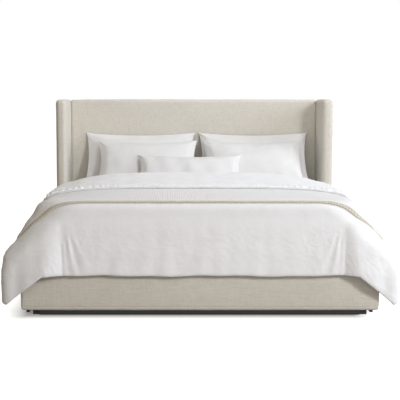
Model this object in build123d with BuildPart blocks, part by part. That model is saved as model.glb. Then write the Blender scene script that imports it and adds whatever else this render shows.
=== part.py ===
from build123d import *

import os
from math import cos, radians, sin, sqrt

# An upholstered king-size platform bed with a winged headboard, made up with its mattress,
# duvet, coverlet and five pillows. Millimetres. X runs across the bed, +Y runs from the foot
# to the headboard and +Z is up. The origin is on the floor, under the middle of the bed.

os.makedirs("parts", exist_ok=True)

# Fits between neighbouring pieces
soft_gap = 0.4
pillow_gap = 0.9
screw_clearance = 0.1
overrun = 5.0

# Mattress and its fitted sheet
mattress_width = 1930.0
mattress_length = 2032.0
mattress_height = 330.0
mattress_corner_radius = 60.0
mattress_edge_radius = 20.0
mattress_side_gap = 13.0
mattress_head_gap = 45.0
ticking_thickness = 3.0
tape_height = 9.0
tape_stand_out = 4.0
tape_from_edge = 26.0
bedsheet_thickness = 1.2
bedsheet_hem_above_base = 60.0

# Upholstered rails
deck_height = 280.0
foot_height = 33.0
rail_height = 322.0
side_rail_thickness = 71.0
foot_rail_thickness = 90.0
rail_board_thickness = 30.0
rail_edge_radius = 14.0
fabric_thickness = 2.0
fabric_return = 36.0

# Headboard and wings
headboard_top = 1261.0
panel_thickness = 100.0
panel_edge_radius = 20.0
pad_bottom = 300.0
panel_foam_thickness = 32.0
face_board_thickness = 10.0
back_cloth_thickness = 2.0
top_rail_height = 90.0
bottom_rail_height = 140.0
post_width = 70.0
post_count = 4
wing_thickness = 75.0
wing_reach = 370.0
wing_edge_radius = 28.0
wing_board_thickness = 40.0
wing_foam_cover = 18.0

# Studs that join the side rails to the wings
stud_radius = 4.0
stud_grip = 45.0
stud_rise = 75.0

# Feet and plinth
foot_width = 46.0
front_foot_side_inset = 64.0
front_foot_recess = 42.0
rear_foot_recess = 60.0
plinth_thickness = 18.0
plinth_set_back = 18.0
plinth_floor_gap = 3.0

# Slatted deck
slat_count = 12
slat_width = 100.0
slat_thickness = 18.0
slat_end_gap = 3.0
slat_corner_radius = 4.0
cleat_width = 30.0
cleat_height = 40.0
strap_width = 25.0
strap_thickness = 1.5
strap_x = 480.0
cleat_screw_radius = 3.0
cleat_screw_length = 46.0
cleat_screw_count = 6
cleat_screw_end_distance = 140.0
screw_head_radius = 6.0
screw_head_height = 3.0

# Middle beam, its hangers and legs
beam_width = 70.0
beam_height = 70.0
hanger_steel = 3.0
hanger_reach = 45.0
hanger_plate_width = 150.0
hanger_plate_drop = 16.0
hanger_cheek_height = 52.0
hanger_screw_rise = 30.0
leg_size = 60.0
leg_count = 3
leg_pitch = 640.0
leg_floor_gap = 24.0
insert_barrel_radius = 5.5
insert_barrel_length = 18.0
insert_flange_radius = 12.0
insert_flange_thickness = 2.0
stem_radius = 4.0
stem_running_clearance = 0.1
stem_length = 56.0
stem_hole_radius = 4.8
stem_hole_spare = 12.0
pad_radius = 20.0
pad_thickness = 7.0
pad_edge_radius = 2.0

# Steel angles in the foot corners
angle_steel = 3.0
angle_leg = 62.0
angle_top_clearance = 32.0
angle_bottom = 90.0
board_screw_length = 24.0
board_screw_edge_distance = 22.0

# Duvet: the spread of its outside past the mattress and the drop of its hems.
# Each row of the profile is one level of it, from the crown down to the corner tips: the
# spread as a share of the flare, the drop as a share of the whole drop, the angle of the
# outward normal from straight up, the thickness as a share of the full depth, the height of
# the folds as a share of the deepest, and the corner's radius as a share of the largest.
duvet_depth = 55.0
duvet_flare = 188.0
duvet_front_share = 0.88
duvet_tip_height = 74.0
duvet_hem_height = 248.0
duvet_side_hem_height = 240.0
duvet_hem_turn_x = 915.0
duvet_tip_x = 1126.0
duvet_tip_run = 380.0
duvet_fold_height = 14.0
duvet_corner_radius = 140.0
duvet_corner_fold_share = 0.735
duvet_corner_fold_width_share = 0.05
duvet_side_fold_count = 3
duvet_length_on_top = 1437.0
duvet_profile_shares = (
    (-2.20, 0.000, 0, 1.000, 0.05, 0.60),
    (-0.95, 0.002, 2, 0.965, 0.08, 0.70),
    (-0.16, 0.006, 12, 0.730, 0.12, 0.75),
    (0.27, 0.055, 40, 0.730, 0.20, 0.60),
    (0.42, 0.120, 58, 0.690, 0.30, 0.60),
    (0.61, 0.300, 70, 0.620, 0.50, 0.60),
    (0.83, 0.500, 73, 0.530, 0.80, 0.55),
    (1.00, 0.720, 84, 0.500, 1.00, 0.50),
    (0.97, 1.000, 90, 0.500, 1.00, 0.45),
)

# Coverlet laid over the duvet, and the duvet's head end folded back over it
coverlet_thickness = 8.0
coverlet_front_overhang = 18.0
coverlet_border_width = 26.0
coverlet_hem_height = 450.0
turnback_thickness = 24.0
turnback_length = 745.0
turnback_hem_height = 490.0
turnback_bend = 34.0

# Pillows: a row of each end's shape is a place along the width, as a share of the half
# width, with the thickness there as a share of the thickness in the middle.
back_pillow_width = 880.0
front_pillow_width = 790.0
pillow_height = 470.0
pillow_thickness = 132.0
lumbar_width = 810.0
lumbar_height = 330.0
lumbar_thickness = 108.0
pillow_draw_in = 26.0
pillow_sink = 12.0
pillowcase_thickness = 3.0
pillow_end_shares = ((1.0, 0.08), (0.94, 0.36), (0.78, 0.70), (0.42, 0.95))
insert_side_margin = 34.0
insert_edge_margin = 14.0
back_pillow_lean = 60
front_pillow_lean = 48
lumbar_lean = 50
left_back_pillow_x = -423.0
right_back_pillow_x = 471.0
left_front_pillow_x = -361.0
right_front_pillow_x = 456.0
lumbar_x = -36.0

# Places worked out from the sizes above
inner_half = mattress_width / 2 + mattress_side_gap
rail_half = inner_half + side_rail_thickness
wing_half = inner_half + wing_thickness
deck_length = mattress_side_gap + mattress_length + mattress_head_gap
frame_length = foot_rail_thickness + deck_length + panel_thickness
duvet_front_reach = duvet_front_share * duvet_flare + duvet_fold_height
duvet_reach = duvet_front_reach - foot_rail_thickness - mattress_side_gap
foot_y = (duvet_reach - frame_length) / 2
back_y = foot_y + frame_length
panel_y = back_y - panel_thickness
wing_y = panel_y - wing_reach
deck_front_y = foot_y + foot_rail_thickness
rail_top = foot_height + rail_height
slat_bottom = deck_height - slat_thickness
angle_height = slat_bottom - cleat_height - angle_top_clearance - angle_bottom
mattress_foot_y = deck_front_y + mattress_side_gap
mattress_middle_y = mattress_foot_y + mattress_length / 2
mattress_top = deck_height + mattress_height
bedsheet_top = mattress_top + soft_gap + bedsheet_thickness
bedding_base = bedsheet_top + soft_gap
duvet_top = bedding_base + duvet_depth
duvet_head_y = mattress_foot_y + duvet_length_on_top


def save(piece, label):
    """Labels a finished piece and writes its file."""
    piece.part.label = label
    export_step(piece.part, f"parts/{label}.step")


def block(low, high):
    """A square block between its lowest and its highest corner."""
    size = [b - a for a, b in zip(low, high)]
    with BuildPart() as shape:
        with Locations(low):
            Box(*size, align=(Align.MIN, Align.MIN, Align.MIN))
    return shape.part


def rounded_block(low, high, radius):
    """The same block with every edge rounded alike."""
    with BuildPart() as shape:
        add(block(low, high))
        fillet(shape.edges(), radius)
    return shape.part


def inset(low, high, by):
    """The two corners of a block, taken in by the same amount on all six sides."""
    return tuple(a + by for a in low), tuple(b - by for b in high)


def save_mirrored(piece, name):
    """Writes a right-hand piece and its left-hand twin."""
    save(piece, f"right_{name}")
    with BuildPart() as twin:
        mirror(piece.part, about=Plane.YZ)
    save(twin, f"left_{name}")


# Upholstered foot rail: a board flush with the back, foam round it, and fabric wrapped over

foot_rail_low = (-rail_half, foot_y, foot_height)
foot_rail_high = (rail_half, deck_front_y, rail_top)
board_low_z = foot_height + fabric_return
board_high_z = rail_top - fabric_return
foot_board_low = (-rail_half + fabric_return, deck_front_y - rail_board_thickness, board_low_z)
foot_board_high = (rail_half - fabric_return, deck_front_y, board_high_z)
rail_foam_radius = rail_edge_radius - fabric_thickness
board_screw_x = inner_half - board_screw_edge_distance - angle_steel
board_screw_z = (angle_bottom + board_screw_edge_distance,
                 angle_bottom + angle_height - board_screw_edge_distance)
hanger_screw_x = (hanger_plate_width + beam_width) / 4
hanger_screw_z = slat_bottom - hanger_screw_rise
board_screw_bore = board_screw_length - angle_steel

with BuildPart() as foot_rail_board:
    add(block(foot_board_low, foot_board_high))
    with Locations(Plane.XZ.offset(-deck_front_y)):
        with Locations(
            *[(side * board_screw_x, z) for side in (-1, 1) for z in board_screw_z],
            *[(side * hanger_screw_x, hanger_screw_z) for side in (-1, 1)],
        ):
            Cylinder(
                cleat_screw_radius + screw_clearance,
                board_screw_bore,
                align=(Align.CENTER, Align.CENTER, Align.MIN),
                mode=Mode.SUBTRACT,
            )
save(foot_rail_board, "foot_rail_board")

with BuildPart() as foot_rail_foam:
    add(rounded_block(*inset(foot_rail_low, foot_rail_high, fabric_thickness), rail_foam_radius))
    add(block(foot_board_low, foot_board_high), mode=Mode.SUBTRACT)
save(foot_rail_foam, "foot_rail_foam")

with BuildPart() as foot_rail_cover:
    add(rounded_block(foot_rail_low, foot_rail_high, rail_edge_radius))
    add(
        rounded_block(*inset(foot_rail_low, foot_rail_high, fabric_thickness), rail_foam_radius),
        mode=Mode.SUBTRACT,
    )
    add(block(foot_board_low, foot_board_high), mode=Mode.SUBTRACT)
save(foot_rail_cover, "foot_rail_cover")

# Side rails: the same build, run straight from the foot rail to the front of the wings

side_rail_length = wing_y - deck_front_y
stud_x = inner_half + (rail_board_thickness + (wing_thickness - wing_board_thickness) / 2) / 2
rail_middle_z = foot_height + rail_height / 2
stud_z = (rail_middle_z - stud_rise, rail_middle_z + stud_rise)
cleat_screw_z = slat_bottom - cleat_height / 2
cleat_screw_pitch = (side_rail_length - 2 * cleat_screw_end_distance) / (cleat_screw_count - 1)
cleat_screw_y = [
    deck_front_y + cleat_screw_end_distance + turn * cleat_screw_pitch
    for turn in range(cleat_screw_count)
]
angle_screw_y = deck_front_y + angle_steel + angle_leg - board_screw_edge_distance


def rail_section(taken_in):
    """The rounded cross-section of the right-hand rail, taken in all round."""
    with BuildSketch(Plane.XZ.offset(-deck_front_y)) as section:
        with Locations((inner_half + side_rail_thickness / 2, rail_middle_z)):
            RectangleRounded(
                side_rail_thickness - 2 * taken_in,
                rail_height - 2 * taken_in,
                rail_edge_radius - taken_in,
            )
    return section.sketch


def stud_hole(grip):
    """The clearance holes for the two studs that join a side rail to its wing."""
    with BuildPart() as holes:
        with Locations(Plane.XZ.offset(-wing_y)):
            with Locations(*[(stud_x, z) for z in stud_z]):
                Cylinder(stud_radius + screw_clearance, 2 * grip)
    return holes.part


side_board_low = (inner_half, deck_front_y, board_low_z)
side_board_high = (inner_half + rail_board_thickness, wing_y, board_high_z)

with BuildPart() as side_rail_board:
    add(block(side_board_low, side_board_high))
    with Locations(Plane.YZ.offset(inner_half)):
        with Locations(
            *[(y, cleat_screw_z) for y in cleat_screw_y],
        ):
            Cylinder(
                cleat_screw_radius + screw_clearance,
                cleat_screw_length - cleat_width + screw_head_height,
                align=(Align.CENTER, Align.CENTER, Align.MIN),
                mode=Mode.SUBTRACT,
            )
        with Locations(*[(angle_screw_y, z) for z in board_screw_z]):
            Cylinder(
                cleat_screw_radius + screw_clearance,
                board_screw_bore,
                align=(Align.CENTER, Align.CENTER, Align.MIN),
                mode=Mode.SUBTRACT,
            )
    add(stud_hole(stud_grip), mode=Mode.SUBTRACT)
save_mirrored(side_rail_board, "rail_board")

with BuildPart() as side_rail_foam:
    extrude(rail_section(fabric_thickness), amount=side_rail_length, dir=(0, 1, 0))
    add(block(side_board_low, side_board_high), mode=Mode.SUBTRACT)
save_mirrored(side_rail_foam, "rail_foam")

with BuildPart() as side_rail_cover:
    extrude(rail_section(0), amount=side_rail_length, dir=(0, 1, 0))
    extrude(
        rail_section(fabric_thickness),
        amount=side_rail_length,
        dir=(0, 1, 0),
        mode=Mode.SUBTRACT,
    )
    add(block(side_board_low, side_board_high), mode=Mode.SUBTRACT)
save_mirrored(side_rail_cover, "rail_cover")

# Wings of the headboard: a thick board wrapped all round in foam and fabric

wing_low = (inner_half, wing_y, foot_height)
wing_high = (wing_half, back_y, headboard_top)
wing_foam_radius = wing_edge_radius - fabric_thickness
wing_board_margin = fabric_thickness + wing_foam_cover
wing_board_low = (
    inner_half + (wing_thickness - wing_board_thickness) / 2,
    wing_y + wing_board_margin,
    foot_height + wing_board_margin,
)
wing_board_high = (
    wing_board_low[0] + wing_board_thickness,
    back_y - wing_board_margin,
    headboard_top - wing_board_margin,
)

with BuildPart() as wing_board:
    add(block(wing_board_low, wing_board_high))
    add(stud_hole(stud_grip), mode=Mode.SUBTRACT)
save_mirrored(wing_board, "wing_board")

with BuildPart() as wing_foam:
    add(rounded_block(*inset(wing_low, wing_high, fabric_thickness), wing_foam_radius))
    add(block(wing_board_low, wing_board_high), mode=Mode.SUBTRACT)
    add(stud_hole(stud_grip), mode=Mode.SUBTRACT)
save_mirrored(wing_foam, "wing_foam")

with BuildPart() as wing_cover:
    add(rounded_block(wing_low, wing_high, wing_edge_radius))
    add(
        rounded_block(*inset(wing_low, wing_high, fabric_thickness), wing_foam_radius),
        mode=Mode.SUBTRACT,
    )
    add(stud_hole(stud_grip), mode=Mode.SUBTRACT)
save_mirrored(wing_cover, "wing_cover")

with BuildPart() as rail_studs:
    with Locations(Plane.XZ.offset(-wing_y)):
        with Locations(*[(side * stud_x, z) for side in (-1, 1) for z in stud_z]):
            Cylinder(stud_radius, 2 * stud_grip)
save(rail_studs, "rail_studs")

# Headboard panel: timber frame, face board, foam and fabric, with a cloth over the back

panel_low = (-inner_half, panel_y, pad_bottom)
panel_high = (inner_half, back_y, headboard_top)
panel_foam_radius = panel_edge_radius - fabric_thickness
face_board_front = panel_y + fabric_thickness + panel_foam_thickness
frame_front = face_board_front + face_board_thickness
frame_back = back_y - back_cloth_thickness
frame_half = inner_half - panel_edge_radius
frame_top = headboard_top - panel_edge_radius
post_low_z = pad_bottom + fabric_return
core_low = (-frame_half, face_board_front, post_low_z)
core_high = (frame_half, back_y + overrun, frame_top)

with BuildPart() as headboard_top_rail:
    add(
        block(
            (-frame_half, frame_front, frame_top - top_rail_height),
            (frame_half, frame_back, frame_top),
        )
    )
save(headboard_top_rail, "headboard_top_rail")

with BuildPart() as headboard_bottom_rail:
    add(
        block(
            (-inner_half, panel_y, pad_bottom - bottom_rail_height),
            (inner_half, frame_back, pad_bottom),
        )
    )
    with Locations(Plane.XZ.offset(-panel_y)):
        with Locations(*[(side * hanger_screw_x, hanger_screw_z) for side in (-1, 1)]):
            Cylinder(
                cleat_screw_radius + screw_clearance,
                board_screw_bore,
                align=(Align.CENTER, Align.CENTER, Align.MAX),
                mode=Mode.SUBTRACT,
            )
save(headboard_bottom_rail, "headboard_bottom_rail")

post_pitch = (2 * frame_half - post_width) / (post_count - 1)
post_height = frame_top - top_rail_height - post_low_z
with BuildPart() as headboard_posts:
    with Locations((0, (frame_front + frame_back) / 2, post_low_z + post_height / 2)):
        with GridLocations(post_pitch, post_pitch, post_count, 1):
            Box(post_width, frame_back - frame_front, post_height)
save(headboard_posts, "headboard_posts")

with BuildPart() as headboard_face_board:
    add(block(core_low, (frame_half, frame_front, frame_top)))
save(headboard_face_board, "headboard_face_board")

with BuildPart() as headboard_foam:
    add(rounded_block(*inset(panel_low, panel_high, fabric_thickness), panel_foam_radius))
    add(block(core_low, core_high), mode=Mode.SUBTRACT)
save(headboard_foam, "headboard_foam")

with BuildPart() as headboard_cover:
    add(rounded_block(panel_low, panel_high, panel_edge_radius))
    add(
        rounded_block(*inset(panel_low, panel_high, fabric_thickness), panel_foam_radius),
        mode=Mode.SUBTRACT,
    )
    add(block(core_low, core_high), mode=Mode.SUBTRACT)
save(headboard_cover, "headboard_cover")

with BuildPart() as headboard_back_cloth:
    add(
        block(
            (-frame_half, frame_back, post_low_z),
            (frame_half, back_y, frame_top),
        )
    )
save(headboard_back_cloth, "headboard_back_cloth")

# Feet under the foot rail and under the wings, and the dark plinth boards between them

front_foot_x = rail_half - front_foot_side_inset - foot_width / 2
front_foot_y = foot_y + front_foot_recess + foot_width / 2
rear_foot_x = inner_half + wing_thickness / 2
rear_foot_y = back_y - rear_foot_recess
with BuildPart() as corner_feet:
    with Locations(
        *[(side * front_foot_x, front_foot_y) for side in (-1, 1)],
        *[(side * rear_foot_x, rear_foot_y) for side in (-1, 1)],
    ):
        Box(foot_width, foot_width, foot_height, align=(Align.CENTER, Align.CENTER, Align.MIN))
save(corner_feet, "corner_feet")

front_plinth_half = front_foot_x - foot_width / 2
with BuildPart() as front_plinth:
    add(
        block(
            (-front_plinth_half, foot_y + plinth_set_back, plinth_floor_gap),
            (front_plinth_half, foot_y + plinth_set_back + plinth_thickness, foot_height),
        )
    )
save(front_plinth, "front_plinth")

side_plinth_x = rail_half - plinth_set_back - plinth_thickness
with BuildPart() as side_plinth:
    add(
        block(
            (side_plinth_x, front_foot_y + foot_width / 2, plinth_floor_gap),
            (side_plinth_x + plinth_thickness, wing_y, foot_height),
        )
    )
save_mirrored(side_plinth, "plinth")

# Cleats along the rails, and the slats that lie on them, stapled to two straps

cleat_low = (inner_half - cleat_width, deck_front_y, slat_bottom - cleat_height)
with BuildPart() as cleat:
    add(block(cleat_low, (inner_half, panel_y, slat_bottom)))
    add(
        block(
            (cleat_low[0] - overrun, deck_front_y - overrun, cleat_low[2] - overrun),
            (inner_half + overrun, deck_front_y + angle_steel, slat_bottom + overrun),
        ),
        mode=Mode.SUBTRACT,
    )
    with Locations(Plane.YZ.offset(cleat_low[0])):
        with Locations(*[(y, cleat_screw_z) for y in cleat_screw_y]):
            CounterBoreHole(
                cleat_screw_radius + screw_clearance,
                screw_head_radius + screw_clearance,
                screw_head_height,
                cleat_width,
            )
save_mirrored(cleat, "cleat")

slat_pitch = (deck_length - slat_width - 2 * slat_end_gap) / (slat_count - 1)
deck_middle_y = deck_front_y + deck_length / 2
with BuildPart() as slats:
    with Locations((0, deck_middle_y, slat_bottom + slat_thickness / 2)):
        with GridLocations(slat_pitch, slat_pitch, 1, slat_count):
            Box(2 * (inner_half - slat_end_gap), slat_width, slat_thickness)
    fillet(slats.edges().filter_by(Axis.X), slat_corner_radius)
save(slats, "slats")

with BuildPart() as slat_straps:
    with Locations((0, deck_middle_y, slat_bottom - strap_thickness / 2)):
        with GridLocations(2 * strap_x, 2 * strap_x, 2, 1):
            Box(strap_width, deck_length - 2 * slat_end_gap, strap_thickness)
save(slat_straps, "slat_straps")

# Middle beam under the slats, hung from the foot rail and the headboard's bottom rail

beam_low = (-beam_width / 2, deck_front_y + hanger_steel, slat_bottom - beam_height)
beam_high = (beam_width / 2, panel_y - hanger_steel, slat_bottom)
with BuildPart() as centre_beam:
    add(block(beam_low, beam_high))
save(centre_beam, "centre_beam")


def hanger(face_y, inward):
    """A steel shoe: a plate on the board, a seat under the beam and a cheek on each side."""
    plate_y = sorted((face_y, face_y + inward * hanger_steel))
    shoe_y = sorted((face_y, face_y + inward * hanger_reach))
    half = beam_width / 2
    outer = half + hanger_steel
    seat_z = beam_low[2] - hanger_steel
    with BuildPart() as shoe:
        add(
            block(
                (-hanger_plate_width / 2, plate_y[0], seat_z - hanger_plate_drop),
                (hanger_plate_width / 2, plate_y[1], slat_bottom),
            )
        )
        add(
            block(
                (-outer, shoe_y[0], seat_z),
                (outer, shoe_y[1], beam_low[2] + hanger_cheek_height),
            )
        )
        add(
            block(
                (-half, min(shoe_y[0], plate_y[1]) - overrun, beam_low[2]),
                (half, max(shoe_y[1], plate_y[0]) + overrun, slat_bottom + overrun),
            ),
            mode=Mode.SUBTRACT,
        )
        add(
            block(
                (-half, plate_y[0], beam_low[2]),
                (half, plate_y[1], slat_bottom),
            )
        )
        with Locations(Plane.XZ.offset(-face_y)):
            with Locations(*[(side * hanger_screw_x, hanger_screw_z) for side in (-1, 1)]):
                Cylinder(cleat_screw_radius + screw_clearance, 2 * hanger_reach,
                         mode=Mode.SUBTRACT)
    return shoe.part


with BuildPart() as beam_hangers:
    add(hanger(deck_front_y, 1))
    add(hanger(panel_y, -1))
save(beam_hangers, "beam_hangers")

# Legs under the beam, each with a threaded sleeve and a glide that screws down to the floor

leg_height = beam_low[2] - leg_floor_gap
stem_top = pad_thickness + stem_length
stem_hole_top = stem_top + stem_hole_spare

with BuildPart() as leg_inserts:
    for turn in range(leg_count):
        leg_y = deck_middle_y + (turn - (leg_count - 1) / 2) * leg_pitch
        with Locations((0, leg_y, leg_floor_gap)):
            Cylinder(
                insert_barrel_radius,
                insert_barrel_length,
                align=(Align.CENTER, Align.CENTER, Align.MIN),
            )
            Cylinder(
                insert_flange_radius,
                insert_flange_thickness,
                align=(Align.CENTER, Align.CENTER, Align.MAX),
            )
            Cylinder(
                stem_radius + stem_running_clearance,
                2 * (insert_barrel_length + insert_flange_thickness),
                mode=Mode.SUBTRACT,
            )
save(leg_inserts, "leg_inserts")

for turn in range(leg_count):
    leg_y = deck_middle_y + (turn - (leg_count - 1) / 2) * leg_pitch
    with BuildPart() as leg:
        with Locations((0, leg_y, leg_floor_gap)):
            Box(leg_size, leg_size, leg_height, align=(Align.CENTER, Align.CENTER, Align.MIN))
            Cylinder(
                insert_barrel_radius,
                insert_barrel_length,
                align=(Align.CENTER, Align.CENTER, Align.MIN),
                mode=Mode.SUBTRACT,
            )
            Cylinder(
                stem_hole_radius,
                stem_hole_top - leg_floor_gap,
                align=(Align.CENTER, Align.CENTER, Align.MIN),
                mode=Mode.SUBTRACT,
            )
    save(leg, f"centre_leg_{turn + 1}")
    with BuildPart() as glide:
        with Locations((0, leg_y, 0)):
            Cylinder(
                pad_radius,
                pad_thickness,
                align=(Align.CENTER, Align.CENTER, Align.MIN),
            )
        fillet(glide.edges(), pad_edge_radius)
        with Locations((0, leg_y, pad_thickness)):
            Cylinder(
                stem_radius,
                stem_length,
                align=(Align.CENTER, Align.CENTER, Align.MIN),
            )
    save(glide, f"levelling_glide_{turn + 1}")

# Steel angles in the two foot corners, and the screws of the frame


with BuildPart() as corner_angle:
    with BuildSketch(Plane.XY.offset(angle_bottom)):
        with BuildLine():
            Polyline(
                (inner_half, deck_front_y),
                (inner_half, deck_front_y + angle_steel + angle_leg),
                (inner_half - angle_steel, deck_front_y + angle_steel + angle_leg),
                (inner_half - angle_steel, deck_front_y + angle_steel),
                (inner_half - angle_steel - angle_leg, deck_front_y + angle_steel),
                (inner_half - angle_steel - angle_leg, deck_front_y),
                close=True,
            )
        make_face()
    extrude(amount=angle_height)
    with Locations(Plane.XZ.offset(-deck_front_y)):
        with Locations(*[(board_screw_x, z) for z in board_screw_z]):
            Cylinder(cleat_screw_radius + screw_clearance, 2 * angle_leg, mode=Mode.SUBTRACT)
    with Locations(Plane.YZ.offset(inner_half)):
        with Locations(*[(angle_screw_y, z) for z in board_screw_z]):
            Cylinder(cleat_screw_radius + screw_clearance, angle_leg, mode=Mode.SUBTRACT)


with BuildPart() as corner_angles:
    add(corner_angle.part)
    mirror(corner_angle.part, about=Plane.YZ)
save(corner_angles, "corner_angles")


def screws(plane, places, length):
    """Pan-head screws, driven along the plane's normal from heads that lie on the plane."""
    with BuildPart() as group:
        with Locations(plane):
            with Locations(*places):
                Cylinder(
                    screw_head_radius,
                    screw_head_height,
                    align=(Align.CENTER, Align.CENTER, Align.MAX),
                )
                Cylinder(
                    cleat_screw_radius,
                    length,
                    align=(Align.CENTER, Align.CENTER, Align.MIN),
                )
    return group.part


angle_face_y = deck_front_y + angle_steel
hanger_face_y = deck_front_y + hanger_steel
side_screws = screws(
    Plane.YZ.offset(inner_half - angle_steel),
    [(angle_screw_y, z) for z in board_screw_z],
    board_screw_length,
)
with BuildPart() as bracket_screws:
    add(
        screws(
            Plane.XZ.offset(-angle_face_y),
            [(side * board_screw_x, z) for side in (-1, 1) for z in board_screw_z],
            board_screw_length,
        )
    )
    add(
        screws(
            Plane.XZ.offset(-hanger_face_y),
            [(side * hanger_screw_x, hanger_screw_z) for side in (-1, 1)],
            board_screw_length,
        )
    )
    add(
        screws(
            Plane.ZX.offset(panel_y - hanger_steel),
            [(hanger_screw_z, side * hanger_screw_x) for side in (-1, 1)],
            board_screw_length,
        )
    )
    add(side_screws)
    mirror(side_screws, about=Plane.YZ)
save(bracket_screws, "bracket_screws")

cleat_screw_group = screws(
    Plane.YZ.offset(cleat_low[0] + screw_head_height),
    [(y, cleat_screw_z) for y in cleat_screw_y],
    cleat_screw_length,
)
with BuildPart() as cleat_screws:
    add(cleat_screw_group)
    mirror(cleat_screw_group, about=Plane.YZ)
save(cleat_screws, "cleat_screws")

# Mattress: foam and spring core, quilted ticking, border tapes, and the fitted sheet


def mattress_block(side_out, top_out, low_z):
    """The mattress's rounded block, let out at the sides and the top, from a given height."""
    with BuildPart() as shape:
        with BuildSketch(Plane.XY.offset(low_z)):
            with Locations((0, mattress_middle_y)):
                RectangleRounded(
                    mattress_width + 2 * side_out,
                    mattress_length + 2 * side_out,
                    mattress_corner_radius + side_out,
                )
        extrude(amount=mattress_top + top_out - low_z)
        fillet(shape.faces().sort_by(Axis.Z)[-1].edges(), mattress_edge_radius + top_out)
        if low_z < deck_height + mattress_edge_radius:
            fillet(shape.faces().sort_by(Axis.Z)[0].edges(), mattress_edge_radius + top_out)
    return shape.part


core_in = ticking_thickness + soft_gap
with BuildPart() as mattress_core:
    add(mattress_block(-core_in, -core_in, deck_height + core_in))
save(mattress_core, "mattress_core")

with BuildPart() as mattress_ticking:
    add(mattress_block(0, 0, deck_height))
    add(
        mattress_block(-ticking_thickness, -ticking_thickness, deck_height + ticking_thickness),
        mode=Mode.SUBTRACT,
    )
save(mattress_ticking, "mattress_ticking")

with BuildPart() as mattress_tapes:
    for tape_z in (deck_height + tape_from_edge, mattress_top - tape_from_edge - tape_height):
        with BuildSketch(Plane.XY.offset(tape_z)):
            with Locations((0, mattress_middle_y)):
                RectangleRounded(
                    mattress_width + 2 * tape_stand_out,
                    mattress_length + 2 * tape_stand_out,
                    mattress_corner_radius + tape_stand_out,
                )
                RectangleRounded(
                    mattress_width,
                    mattress_length,
                    mattress_corner_radius,
                    mode=Mode.SUBTRACT,
                )
        extrude(amount=tape_height)
save(mattress_tapes, "mattress_tapes")

sheet_in = tape_stand_out + soft_gap
sheet_hem_z = deck_height + bedsheet_hem_above_base
with BuildPart() as fitted_sheet:
    add(mattress_block(sheet_in + bedsheet_thickness, soft_gap + bedsheet_thickness, sheet_hem_z))
    add(mattress_block(sheet_in, soft_gap, sheet_hem_z), mode=Mode.SUBTRACT)
save(fitted_sheet, "fitted_sheet")

# Duvet: one level of its outline, and the closed mound that the levels make together

duvet_drop = duvet_top - duvet_tip_height
duvet_loft_head_y = duvet_head_y + turnback_bend


def duvet_outline(half, front, fold, radius):
    """Lines and arcs round one level: a fold near each corner, and waves down each side."""
    fold_x = duvet_corner_fold_share * half
    fold_half = duvet_corner_fold_width_share * half
    wave_count = 2 * duvet_side_fold_count
    wave_length = (duvet_loft_head_y - front - radius) / wave_count
    Line((-fold_x + fold_half, front), (fold_x - fold_half, front))
    for side in (-1, 1):
        ThreePointArc(
            (side * (fold_x - fold_half), front),
            (side * fold_x, front - fold),
            (side * (fold_x + fold_half), front),
        )
        Line((side * (fold_x + fold_half), front), (side * (half - radius), front))
        corner_reach = radius * (1 - cos(radians(45)))
        ThreePointArc(
            (side * (half - radius), front),
            (side * (half - corner_reach), front + corner_reach),
            (side * half, front + radius),
        )
        for wave in range(wave_count):
            start = front + radius + wave * wave_length
            ThreePointArc(
                (side * half, start),
                (side * (half + fold * (-1) ** wave), start + wave_length / 2),
                (side * half, start + wave_length),
            )
    Line((-half, duvet_loft_head_y), (half, duvet_loft_head_y))


def duvet_mound(outset, depth):
    """A closed mound over the bed, let out by an outset and taken in by the duvet's depth."""
    with BuildPart() as mound:
        for spread, drop, slope, thick, fold, corner in duvet_profile_shares:
            shift = outset - thick * depth
            side_spread = spread * duvet_flare + shift * sin(radians(slope))
            front_spread = spread * duvet_flare
            if spread > 0:
                front_spread = duvet_front_share * front_spread
            front_spread = front_spread + shift * sin(radians(slope))
            level = duvet_top - drop * duvet_drop + shift * cos(radians(slope))
            with BuildSketch(Plane.XY.offset(level)):
                with BuildLine():
                    duvet_outline(
                        mattress_width / 2 + side_spread,
                        mattress_foot_y - front_spread,
                        fold * duvet_fold_height,
                        corner * duvet_corner_radius + shift * sin(radians(slope)),
                    )
                make_face()
        loft(ruled=True)
    return mound.part


far = 2 * frame_length
turnback_front_y = duvet_head_y - turnback_length
coverlet_front_y = mattress_foot_y - coverlet_front_overhang
cover_gap = coverlet_thickness + 2 * soft_gap
hem_cut_low = duvet_tip_height - duvet_depth
tip_y = foot_y

with BuildPart() as hem_cutter:
    with BuildSketch(Plane.XZ.offset(-far)):
        with BuildLine():
            Polyline(
                (-far, hem_cut_low),
                (far, hem_cut_low),
                (far, duvet_tip_height),
                (duvet_tip_x, duvet_tip_height),
                (duvet_hem_turn_x, duvet_hem_height),
                (-duvet_hem_turn_x, duvet_hem_height),
                (-duvet_tip_x, duvet_tip_height),
                (-far, duvet_tip_height),
                close=True,
            )
        make_face()
    extrude(amount=2 * far)
    with BuildSketch(Plane.YZ.offset(-far)):
        with BuildLine():
            Polyline(
                (tip_y, duvet_tip_height),
                (tip_y + duvet_tip_run, duvet_side_hem_height),
                (far, duvet_side_hem_height),
                (far, hem_cut_low),
                (tip_y, hem_cut_low),
                close=True,
            )
        make_face()
    extrude(amount=2 * far)


def between(low_y, high_y, low_z):
    """The space between two planes across the bed and above a height."""
    return block((-far, low_y, low_z), (far, high_y, far))


with BuildPart() as duvet:
    add(duvet_mound(0, 0))
    add(duvet_mound(0, duvet_depth), mode=Mode.SUBTRACT)
    add(hem_cutter.part, mode=Mode.SUBTRACT)
    add(between(-far, duvet_head_y, hem_cut_low), mode=Mode.INTERSECT)
save(duvet, "duvet")

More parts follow.
